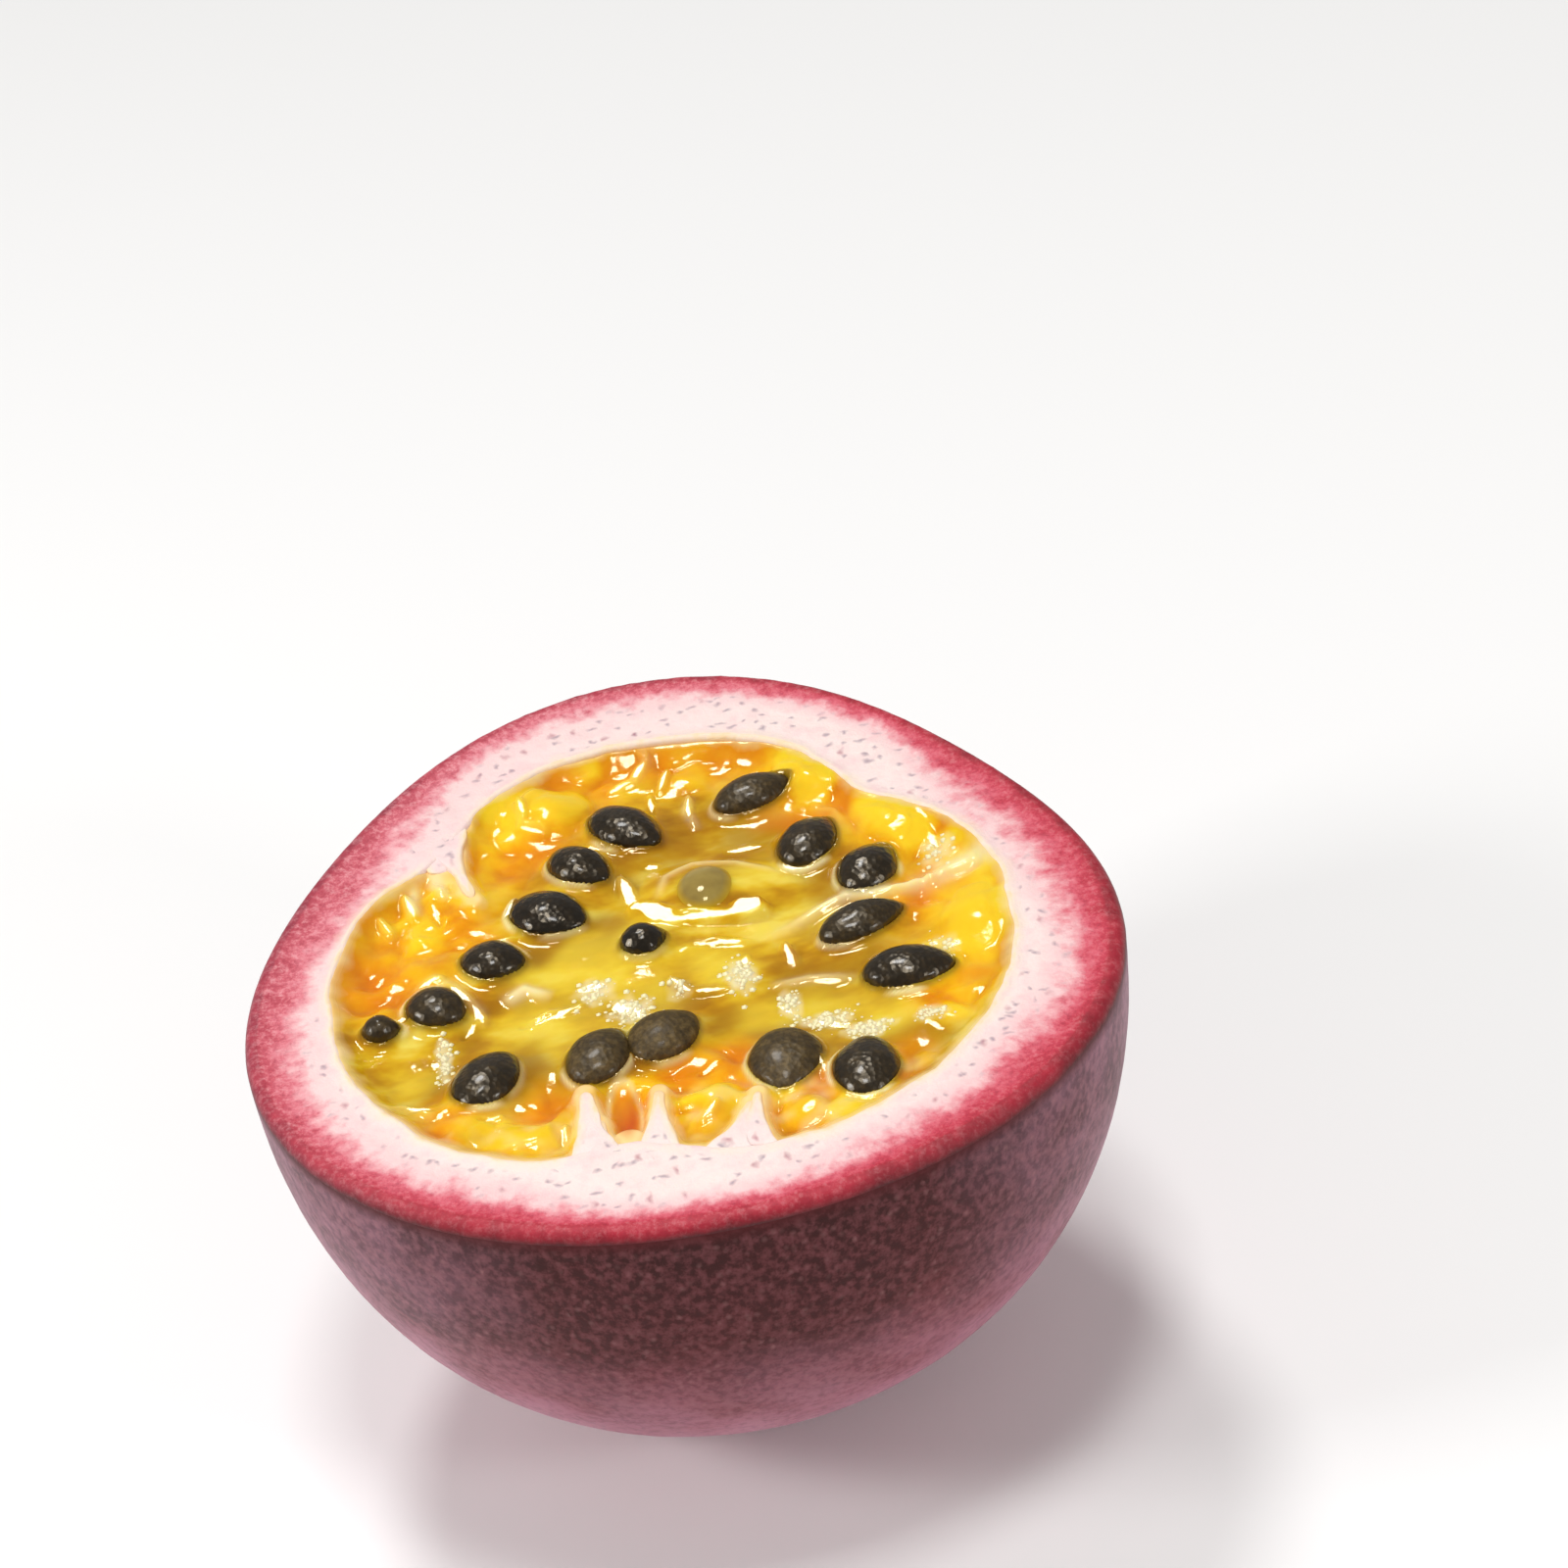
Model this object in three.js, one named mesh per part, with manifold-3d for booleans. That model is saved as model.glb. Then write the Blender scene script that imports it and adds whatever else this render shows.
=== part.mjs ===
// Half of a ripe purple passion fruit, cut across and lying with the cut face up.
//
// The peel is one bowl: tough skin outside, a red layer under it and soft white pith inside. Three fleshy
// ridges run down its inner wall, and the front one carries short stalks that hold seeds. The pulp fills
// the bowl to just under the cut, bulges into juice sacs, and has the hard seeds sunk halfway into its top.
//
// Millimetres, +Z up, +Y to the back. The origin is the centre of the flat spot that the half rests on.

import * as THREE from 'three';
import { mergeVertices } from 'three/addons/utils/BufferGeometryUtils.js';
import Module from 'manifold-3d';

const wasm = await Module();
wasm.setup();

// The whole half.
const HEIGHT = 34.1;          // from the flat spot up to the cut
const RIM_RADIUS = 28.6;      // mean radius of the cut edge
const FOOT_RADIUS = 5;        // the flat spot it rests on
const SIDE_POWER = 2.12;      // 2 would make the side a plain ellipse, more is fuller
const LEAN = 0.46;            // how far the rim's centre stands to the left of the foot's
const RIM_WAVE = 0.1;         // the knife's cut isn't quite flat
const RIM_EDGE = 0.9;         // rounding of the skin's edge at the cut

// The cavity.
const CAVITY_RADIUS = 22.2;   // mean radius of the hollow at the cut, between the ridges
const FLOOR = 7.2;            // thickness of the peel under the hollow
const CAVITY_OFFSET = new THREE.Vector2(-0.5, -0.15);
const RIDGES = [42, 136, 259];    // degrees round the axis, from +X
const RIDGE_RISE = 2.4;       // how far a ridge stands into the hollow
const RIDGE_SPREAD = 14;      // degrees
const LIP = 0.8;              // rounding of the pith's edge over the pulp
const GAP = 0.3;              // clearance between peel and pulp

// The pulp.
const PULP_DEPTH = 1.7;       // mean level of the pulp below the cut
const CREEP = 1.3;            // how high the juice climbs at the wall
const CREEP_WIDTH = 1.5;
const TOP_EDGE = 0.15;        // rounding of the pulp's top edge
const SEED_THICKNESS = 2.6;
const SEED_LIFT = 0.1;        // centre of a seed above the pulp round it
const SAC_RISE = 0.6;         // bulge of the juice sac round a seed
const SAC_SPREAD = 3.4;

const SEGMENTS = 84;
const SKIN_STEPS = 12;
const WALL_STEPS = 7;
const TOP_STEPS = 12;

const { cos, sin, exp, hypot, PI } = Math;
const radians = THREE.MathUtils.degToRad;
const mix = THREE.MathUtils.lerp;

// Each seed as it lies in the pulp: where, how long and wide, and which way its point is turned.
const SEEDS = [
  { x: 6.5, y: 15.5, length: 5.8, width: 3.6, turn: 18 },
  { x: -2.5, y: 14, length: 6, width: 4, turn: -45 },
  { x: -6, y: 10.5, length: 5, width: 3.6, turn: -45 },
  { x: 9.5, y: 9, length: 5.4, width: 4, turn: 55 },
  { x: 13, y: 5, length: 5.2, width: 4, turn: 55 },
  { x: -8.5, y: 6, length: 5.6, width: 4.4, turn: -32 },
  { x: 11.8, y: -0.5, length: 6.2, width: 3.4, turn: 20 },
  { x: -12.5, y: 2, length: 4.4, width: 3.8, turn: -15 },
  { x: -2.5, y: 1.5, length: 3.2, width: 3, turn: 10 },
  { x: 14.1, y: -6.1, length: 6.2, width: 3.9, turn: -3 },
  { x: -16.5, y: -2, length: 4.2, width: 3.8, turn: -35 },
  { x: -20.2, y: -3.5, length: 2.6, width: 2.4, turn: 0 },
  { x: -13.8, y: -9.9, length: 5.8, width: 4.2, turn: 54 },
  { x: -6.5, y: -9.5, length: 5.4, width: 4.2, turn: 62 },
  { x: -2.2, y: -8.6, length: 5.4, width: 4.4, turn: 40 },
  { x: 5.1, y: -13, length: 5.8, width: 4.9, turn: -100 },
  { x: 10, y: -15.2, length: 6, width: 4.4, turn: 80 },
  { x: 2, y: 6.5, length: 4.6, width: 4, turn: -12 },
];

// Lumps of juice sac without a seed of their own, most of them crowded against the wall.
const LUMPS = [
  { x: -8, y: 17, rise: 1.2, spread: 2.6 },
  { x: 11, y: 16.5, rise: 1.1, spread: 2.2 },
  { x: 15.5, y: 10, rise: 1.2, spread: 2.4 },
  { x: 19.5, y: -1.5, rise: 1.3, spread: 2.8 },
  { x: -15, y: 8, rise: 1.2, spread: 3 },
  { x: -17.5, y: 2.5, rise: 1, spread: 2.4 },
  { x: -16, y: -13, rise: 0.8, spread: 2.2 },
  { x: -11.5, y: -16.5, rise: 1, spread: 2.4 },
  { x: 0, y: -16, rise: 1.1, spread: 2.2 },
  { x: 6.5, y: -18, rise: 1, spread: 2 },
  { x: 14.5, y: -11, rise: 0.6, spread: 2.4 },
  { x: 3.5, y: -3.5, rise: 0.5, spread: 3.2 },
];

// The stalks on the front ridge: root at the wall, tip under a seed.
const STALKS = [
  { root: [-7.4, -21.6], tip: [-6.9, -13.4], thickness: 2.2 },
  { root: [-3.2, -21.9], tip: [-2.7, -15.4], thickness: 1.8 },
  { root: [2.1, -22.6], tip: [2.8, -17.3], thickness: 1.9 },
];
const STALK_DEPTH = 1.5;      // a stalk's centre line below the cut

// How far the outline swells beyond its mean circle: three soft corners and a little unevenness.
// Low on the body the corners are weaker.
function skinSwell(angle, height) {
  const strength = mix(0.56, 1, height / HEIGHT);
  const corners = 0.048 * cos(3 * (angle + radians(29)));
  const uneven = 0.0125 * cos(2 * (angle + radians(89))) + 0.01 * cos(4 * (angle + radians(3)));
  return 1 + strength * (corners + uneven);
}

// The same for the hollow, with the ridges pushed in, strongest at the cut.
function cavitySwell(angle, height) {
  const depth = mix(0.2, 1, THREE.MathUtils.clamp((height - FLOOR) / (HEIGHT - FLOOR), 0, 1));
  let swell = 1 + 0.022 * cos(3 * (angle + radians(29)));
  for (const ridge of RIDGES) {
    const away = THREE.MathUtils.euclideanModulo(angle - radians(ridge) + PI, 2 * PI) - PI;
    swell -= (depth * RIDGE_RISE / CAVITY_RADIUS) * exp(-((away / radians(RIDGE_SPREAD)) ** 2));
  }
  return swell;
}

// Half width of a bowl with a full, round side, as a share of its width at the top, where level is 1.
function fullness(level) {
  return (1 - (1 - level) ** SIDE_POWER) ** (1 / SIDE_POWER);
}

// The level at which such a bowl is so wide.
function levelAt(share) {
  return 1 - (1 - share ** SIDE_POWER) ** (1 / SIDE_POWER);
}

// A ring on the cavity's wall, from the middle of its floor at 0 to just under the lip at 1.
// inset moves it inward.
function wallRing(part, inset = 0) {
  const turn = part * (PI / 2);
  const level = 1 - cos(turn);
  return {
    radius: CAVITY_RADIUS * fullness(level) - inset * sin(turn),
    height: mix(FLOOR, HEIGHT - LIP, level) + inset * cos(turn),
    share: 0,
  };
}

// Turns the mean section round the axis, then pushes each of its rings out of round.
// share says how much of a ring follows the skin, and how much the hollow.
function turned(section, heightAt = (point) => point.height) {
  const outline = section.map((point) => new THREE.Vector2(point.radius, point.height));
  const lathe = new THREE.LatheGeometry(outline, SEGMENTS);
  const position = lathe.getAttribute('position');
  for (let i = 0; i < position.count; i++) {
    const point = section[i % section.length];
    const angle = (Math.floor(i / section.length) / SEGMENTS) * 2 * PI;
    const swell = mix(cavitySwell(angle, point.height), skinSwell(angle, point.height), point.share);
    const x = point.radius * swell * cos(angle) - (LEAN * point.height) / HEIGHT;
    const y = point.radius * swell * sin(angle);
    const centred = 1 - point.share;
    const placed = [x + centred * CAVITY_OFFSET.x, y + centred * CAVITY_OFFSET.y];
    position.setXYZ(i, ...placed, heightAt(point, ...placed, angle));
  }
  return lathe;
}

// Joins and cuts need closed solids with shared corners and no collapsed triangles.
function solidOf(geometry) {
  geometry.deleteAttribute('normal');
  geometry.deleteAttribute('uv');
  const merged = mergeVertices(geometry, 1e-4);
  const corners = merged.index.array;
  const triangles = [];
  for (let i = 0; i < corners.length; i += 3) {
    const [a, b, c] = corners.slice(i, i + 3);
    if (a !== b && b !== c && c !== a) triangles.push(a, b, c);
  }
  const mesh = new wasm.Mesh({
    numProp: 3,
    vertProperties: new Float32Array(merged.getAttribute('position').array),
    triVerts: new Uint32Array(triangles),
  });
  return new wasm.Manifold(mesh);
}

function geometryOf(solid) {
  const mesh = solid.getMesh();
  const geometry = new THREE.BufferGeometry();
  geometry.setAttribute('position', new THREE.BufferAttribute(mesh.vertProperties, 3));
  geometry.setIndex(new THREE.BufferAttribute(mesh.triVerts, 1));
  geometry.computeVertexNormals();
  return geometry;
}

// A fleshy stalk, thick at the root and rounded at the tip. grown widens it all round.
function stalk({ root, tip, thickness }, grown = 0) {
  const length = hypot(tip[0] - root[0], tip[1] - root[1]) + grown;
  const radius = thickness / 2 + grown;
  const outline = [
    [0, -1.2],
    [radius * 1.15, -1.2],
    [radius * 1.1, length * 0.25],
    [radius * 0.85, length * 0.6],
    [radius * 0.75, length * 0.88],
    [radius * 0.45, length * 0.97],
    [0, length],
  ];
  const shape = new THREE.LatheGeometry(outline.map(([r, along]) => new THREE.Vector2(r, along)), 10);
  shape.rotateZ(Math.atan2(tip[1] - root[1], tip[0] - root[0]) - PI / 2);
  shape.translate(root[0], root[1], HEIGHT - STALK_DEPTH);
  return solidOf(shape);
}

// The peel, from the middle of the foot out over the skin, across the cut and down to the cavity floor.
function peel() {
  const footLevel = levelAt(FOOT_RADIUS / RIM_RADIUS);
  const section = [{ radius: 0, height: 0, share: 1 }];
  for (let i = 0; i <= SKIN_STEPS; i++) {
    const turn = (i / SKIN_STEPS) * (PI / 2);
    const level = mix(footLevel, 1, 1 - cos(turn));
    const height = ((level - footLevel) / (1 - footLevel)) * (HEIGHT - RIM_EDGE);
    section.push({ radius: RIM_RADIUS * fullness(level), height, share: 1 });
  }
  for (const turn of [30, 60, 90]) {
    section.push({
      radius: RIM_RADIUS - RIM_EDGE * (1 - cos(radians(turn))),
      height: HEIGHT - RIM_EDGE * (1 - sin(radians(turn))),
      share: 1 - 0.03 * (turn / 90),
    });
  }
  for (const share of [0.7, 0.45, 0.2]) {
    section.push({ radius: mix(CAVITY_RADIUS + LIP, RIM_RADIUS - RIM_EDGE, share), height: HEIGHT - 0.15, share });
  }
  for (const turn of [90, 45]) {
    section.push({
      radius: CAVITY_RADIUS + LIP * (1 - cos(radians(turn))),
      height: HEIGHT - LIP * (1 - sin(radians(turn))),
      share: 0,
    });
  }
  for (let i = WALL_STEPS; i >= 0; i--) section.push(wallRing(i / WALL_STEPS));

  const wavy = ({ height }, x, y, angle) => {
    const nearRim = Math.max(0, height / HEIGHT - 0.6) / 0.4;
    return height + RIM_WAVE * nearRim * (sin(2 * angle + 1) + 0.6 * sin(5 * angle + 2)) * 0.6;
  };
  const bowl = solidOf(turned(section, wavy));
  return wasm.Manifold.union([bowl, ...STALKS.map((each) => stalk(each))]);
}

// Height of the pulp's surface over a place in the hollow: it bulges and climbs, but not over the cut.
function pulpTop(x, y) {
  const fromCentre = new THREE.Vector2(x + LEAN, y).sub(CAVITY_OFFSET);
  const wall = CAVITY_RADIUS * cavitySwell(fromCentre.angle(), HEIGHT);
  let rise = CREEP * exp(-Math.max(0, wall - fromCentre.length()) / CREEP_WIDTH);
  for (const seed of SEEDS) {
    rise += SAC_RISE * exp(-(((x - seed.x) ** 2 + (y - seed.y) ** 2) / SAC_SPREAD ** 2));
  }
  for (const lump of LUMPS) {
    rise += lump.rise * exp(-(((x - lump.x) ** 2 + (y - lump.y) ** 2) / lump.spread ** 2));
  }
  return HEIGHT - PULP_DEPTH * (1 - Math.tanh(rise / PULP_DEPTH));
}

// A seed is a flattened egg with one end drawn to a blunt point.
function seed({ x, y, length, width, turn }) {
  const shape = new THREE.IcosahedronGeometry(1, 1);
  const position = shape.getAttribute('position');
  for (let i = 0; i < position.count; i++) {
    const along = position.getX(i);
    const narrowing = 1 - 0.28 * Math.max(0, along) ** 1.5;
    position.setXYZ(i, along, position.getY(i) * narrowing, position.getZ(i) * narrowing);
  }
  shape.scale(length / 2, width / 2, SEED_THICKNESS / 2);
  shape.rotateZ(radians(turn));
  shape.translate(x, y, pulpTop(x, y) + SEED_LIFT);
  return solidOf(shape);
}

// The pulp, from the middle of the cavity floor up along the wall and back over its uneven top.
function pulp() {
  const section = [];
  for (let i = 0; i <= WALL_STEPS; i++) section.push(wallRing(i / WALL_STEPS, GAP));
  const topRadius = CAVITY_RADIUS - GAP - TOP_EDGE;
  for (let i = 0; i <= TOP_STEPS; i++) {
    section.push({ radius: topRadius * (1 - i / TOP_STEPS), height: HEIGHT, share: 0, top: true });
  }
  const body = turned(section, (point, x, y) => (point.top ? pulpTop(x, y) : point.height));
  const filled = wasm.Manifold.union([solidOf(body), ...SEEDS.map((each) => seed(each))]);
  return STALKS.reduce((left, each) => left.subtract(stalk(each, GAP)), filled);
}

function piece(name, solid, colour, roughness) {
  const material = new THREE.MeshStandardMaterial({ color: colour, roughness, metalness: 0 });
  const mesh = new THREE.Mesh(geometryOf(solid), material);
  mesh.name = name;
  return mesh;
}

const half = new THREE.Group();
half.add(piece('peel', peel(), '#6e2c38', 0.45));
half.add(piece('pulp', pulp(), '#d9a21c', 0.15));

export default half;
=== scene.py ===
# Half of a ripe purple passion fruit, cut across and lying with the cut face up.
#
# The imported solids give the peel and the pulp. This script dresses them piece by piece, from the peel
# inwards: skin and flesh, the stalks on the inner wall, the wet pulp, the seeds and the foam.
# Shapes are worked out in millimetres in the row frame, and brought to metres as each piece is finished.

from functools import partial
from math import atan2, cos, degrees, exp, hypot, pi, radians, sin, tanh
from random import Random

import bmesh
import bpy
from mathutils import Matrix, Vector, noise


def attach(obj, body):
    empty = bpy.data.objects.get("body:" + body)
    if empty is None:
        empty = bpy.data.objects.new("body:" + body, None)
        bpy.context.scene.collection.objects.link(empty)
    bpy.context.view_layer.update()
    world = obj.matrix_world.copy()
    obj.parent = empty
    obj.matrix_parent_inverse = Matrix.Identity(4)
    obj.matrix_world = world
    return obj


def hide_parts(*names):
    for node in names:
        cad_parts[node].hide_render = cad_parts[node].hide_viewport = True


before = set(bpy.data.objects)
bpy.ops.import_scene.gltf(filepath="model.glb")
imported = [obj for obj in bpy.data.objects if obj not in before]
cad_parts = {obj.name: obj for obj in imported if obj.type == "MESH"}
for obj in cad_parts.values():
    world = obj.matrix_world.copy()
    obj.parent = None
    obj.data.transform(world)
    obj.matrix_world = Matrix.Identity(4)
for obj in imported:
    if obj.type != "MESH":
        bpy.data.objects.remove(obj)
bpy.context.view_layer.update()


# ------------------------------------------------------------------------------
# Peel: the bowl of the fruit, grown in one piece. A thin tough skin, dark maroon with a waxy bloom and fine
# pale speckles, covers a crimson layer that frays into spongy white pith. A knife cut it across in one
# stroke, so the cut is nearly flat, with a soft edge inside and out.

MM = 0.001
HEIGHT = 34.1           # from the spot it rests on to the cut
RIM_RADIUS = 28.6       # mean radius of the cut edge
FOOT_RADIUS = 5.0
SIDE_POWER = 2.12       # 2 is a plain ellipse, more is fuller
LEAN = 0.46             # the rim's centre stands a little to the left of the foot's
RIM_EDGE = 0.9          # rounding of the skin's edge at the cut
EDGE_SHARE = 0.97       # how much the cut keeps to the skin's outline where that rounding ends
CAVITY_RADIUS = 22.2    # mean radius of the hollow at the cut
CAVITY_OFFSET = Vector((-0.5, -0.15))
FLOOR = 7.2             # flesh under the hollow
LIP = 0.4               # rounding of the pith's edge over the pulp
RIDGES = (42, 136, 259)     # degrees round the axis: the three ridges that once held all the seeds
RIDGE_RISE = 2.4
RIDGE_SPREAD = 14
PEEL_AROUND = 288
SKIN_STEPS = 44
EDGE_STEPS = 6
CUT_STEPS = 24
LIP_STEPS = 5
WALL_STEPS = 14

# The stalks that stand on the ridges: root, tip, and how thick each is at the tip and at the root.
STALKS = (
    ((-7.6, -20), (-7.7, -13.2), 1.1, 3.4), ((-6.9, -20.6), (-7.1, -16.2), 0.8, 3.8),
    ((-5.4, -21.8), (-5.4, -18.8), 2, 3.8), ((-3.7, -20.4), (-3.1, -14.3), 0.9, 2.8),
    ((2.2, -21.4), (3, -16.1), 0.8, 3.4), ((0.6, -21.6), (2.6, -16.9), 0.8, 4),
    ((-16.2, 15.8), (-14.8, 12), 2.2, 3), ((-15.2, 16), (-13.3, 8.5), 0.8, 4.2),
)


def mix(a, b, share):
    return a + (b - a) * share


def clamp(value, low=0.0, high=1.0):
    return max(low, min(high, value))


def skin_swell(angle, height):
    """How far the outline stands beyond its mean circle: three soft corners, weaker low on the body."""
    strength = mix(0.56, 1, height / HEIGHT)
    corners = 0.048 * cos(3 * (angle + radians(29)))
    uneven = 0.0125 * cos(2 * (angle + radians(89))) + 0.01 * cos(4 * (angle + radians(3)))
    return 1 + strength * (corners + uneven)


def cavity_swell(angle, height):
    """The same for the hollow, with the ridges pushed in, strongest at the cut."""
    depth = mix(0.2, 1, clamp((height - FLOOR) / (HEIGHT - FLOOR)))
    swell = 1 + 0.022 * cos(3 * (angle + radians(29)))
    for ridge in RIDGES:
        away = (angle - radians(ridge) + pi) % (2 * pi) - pi
        swell -= depth * RIDGE_RISE / CAVITY_RADIUS * exp(-(away / radians(RIDGE_SPREAD)) ** 2)
    ring = Vector((cos(angle), sin(angle), 0))
    return swell + depth * (0.011 * noise.noise(ring * 6) + 0.006 * noise.noise(ring * 19))


def fullness(level):
    """Half width of a bowl with a full, round side, as a share of its width at the top."""
    return (1 - (1 - level) ** SIDE_POWER) ** (1 / SIDE_POWER)


def wall_ring(part, inset):
    """Radius and height on the hollow's wall, from the middle of its floor at 0 to under the lip at 1."""
    turn = part * pi / 2
    level = 1 - cos(turn)
    radius = CAVITY_RADIUS * fullness(level) - inset * sin(turn)
    return max(radius, 0), mix(FLOOR, HEIGHT - LIP, level) + inset * cos(turn)


def place_of(radius, angle, height, share):
    """Where a point of the mean section lies once it is pushed out of round. share: 1 skin, 0 hollow."""
    swell = mix(cavity_swell(angle, height), skin_swell(angle, height), share)
    x = radius * swell * cos(angle) - LEAN * height / HEIGHT + (1 - share) * CAVITY_OFFSET.x
    y = radius * swell * sin(angle) + (1 - share) * CAVITY_OFFSET.y
    return Vector((x, y, height))


def cut_wave(angle):
    """The blade wandered a little: how far the cut stands off level on that side."""
    return 0.06 * (sin(2 * angle + 1) + 0.6 * sin(5 * angle + 2))


def stalk_radius(part, tip, root):
    """A stalk flares towards its root: its radius somewhere between the root at 0 and the tip at 1."""
    return mix(tip, root, (1 - part) ** 2.6) / 2


def stalk_gap(x, y):
    """Distance from the outline of the nearest stalk, below 0 on it."""
    nearest = 9
    for (rx, ry), (tx, ty), *thick in STALKS:
        if abs(x - rx) + abs(y - ry) > 14:
            continue
        ex, ey = tx - rx, ty - ry
        part = clamp(((x - rx) * ex + (y - ry) * ey) / (ex * ex + ey * ey))
        away = hypot(x - rx - part * ex, y - ry - part * ey)
        nearest = min(nearest, away - stalk_radius(part, *thick))
    return nearest


def finished(name, bm, *materials):
    """Makes the mesh an object that stands still at the origin, in metres, and rides on the fruit."""
    bmesh.ops.scale(bm, verts=bm.verts, vec=(MM, MM, MM))
    mesh = bpy.data.meshes.new(name)
    bm.to_mesh(mesh)
    bm.free()
    for material in materials:
        mesh.materials.append(material)
    mesh.shade_smooth()
    obj = bpy.data.objects.new(name, mesh)
    bpy.context.scene.collection.objects.link(obj)
    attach(obj, "root")
    return obj


def linear(hex_colour):
    """An sRGB hex colour as the linear colour that a socket takes."""
    channels = [int(hex_colour[i : i + 2], 16) / 255 for i in (1, 3, 5)]
    return [c / 12.92 if c <= 0.04045 else ((c + 0.055) / 1.055) ** 2.4 for c in channels] + [1]


def per(size_mm):
    """The texture scale at which one cell of a pattern on metre coordinates is so wide."""
    return 1 / (size_mm * MM)


def add_node(tree, kind, inputs=None, stops=None, **settings):
    """Adds a node. An input takes a value, a hex colour, a socket, or a node's first output in use."""
    node = tree.nodes.new("ShaderNode" + kind)
    if kind == "Mix":
        node.data_type = "RGBA"     # only colours are mixed here
    for name, value in settings.items():
        setattr(node, name, value)
    for name, value in (inputs or {}).items():
        if isinstance(value, bpy.types.Node):
            value = next(socket for socket in value.outputs if socket.enabled)
        if isinstance(value, bpy.types.NodeSocket):
            tree.links.new(value, node.inputs[name])
        else:
            node.inputs[name].default_value = linear(value) if isinstance(value, str) else value
    if stops:
        elements = node.color_ramp.elements
        while len(elements) < len(stops):
            elements.new(0.5)
        for element, (position, colour) in zip(elements, stops):
            element.position = position
            element.color = linear(colour)
    return node


def new_material(name):
    """A material without nodes, and the function that adds one to it."""
    material = bpy.data.materials.new(name)
    material.use_nodes = True
    material.node_tree.nodes.clear()
    return material, partial(add_node, material.node_tree)


def spin_round(bm, chain, steps):
    """Joins a chain of new points by edges and spins it once round the upright axis."""
    edges = [bm.edges.new(pair) for pair in zip(chain, chain[1:])]
    bmesh.ops.spin(
        bm, geom=chain + edges, cent=(0, 0, 0), axis=(0, 0, 1), dvec=(0, 0, 0),
        angle=2 * pi, steps=steps, use_merge=True, use_duplicate=False,
    )
    bmesh.ops.remove_doubles(bm, verts=[v for v in bm.verts if not v.tag], dist=1e-4)


# The mean section, from the middle of the foot over the skin and the cut to the middle of the floor. The
# third number is how much a point keeps to the skin's outline, and not to the hollow's.
foot_level = 1 - (1 - (FOOT_RADIUS / RIM_RADIUS) ** SIDE_POWER) ** (1 / SIDE_POWER)
section = [(0, 0, 1)]
section += [(FOOT_RADIUS * i / 4, 0, 1) for i in (1, 2, 3)]
for i in range(SKIN_STEPS + 1):
    level = mix(foot_level, 1, 1 - cos(i / SKIN_STEPS * pi / 2))
    height = (level - foot_level) / (1 - foot_level) * (HEIGHT - RIM_EDGE)
    section.append((RIM_RADIUS * fullness(level), height, 1))
first_cut_ring = len(section)
for i in range(1, EDGE_STEPS + 1):
    turn = i / EDGE_STEPS * pi / 2
    share = 1 - (1 - EDGE_SHARE) * i / EDGE_STEPS
    section.append((RIM_RADIUS - RIM_EDGE * (1 - cos(turn)), HEIGHT - RIM_EDGE * (1 - sin(turn)), share))
for i in range(1, CUT_STEPS):
    share = 1 - i / CUT_STEPS
    section.append((mix(CAVITY_RADIUS + LIP, RIM_RADIUS - RIM_EDGE, share), HEIGHT, share * EDGE_SHARE))
for i in range(LIP_STEPS):
    turn = (1 - i / LIP_STEPS) * pi / 2
    section.append((CAVITY_RADIUS + LIP * (1 - cos(turn)), HEIGHT - LIP * (1 - sin(turn)), 0))
for i in range(WALL_STEPS, -1, -1):
    section.append((*wall_ring(i / WALL_STEPS, 0), 0))

bm = bmesh.new()
share_of = bm.verts.layers.float.new("share")
ring_of = bm.verts.layers.float.new("ring")
chain = []
for i, (radius, height, share) in enumerate(section):
    vert = bm.verts.new((radius, 0, height))
    vert[share_of] = share
    vert[ring_of] = i
    chain.append(vert)
spin_round(bm, chain, PEEL_AROUND)
bmesh.ops.recalc_face_normals(bm, faces=bm.faces)

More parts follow.
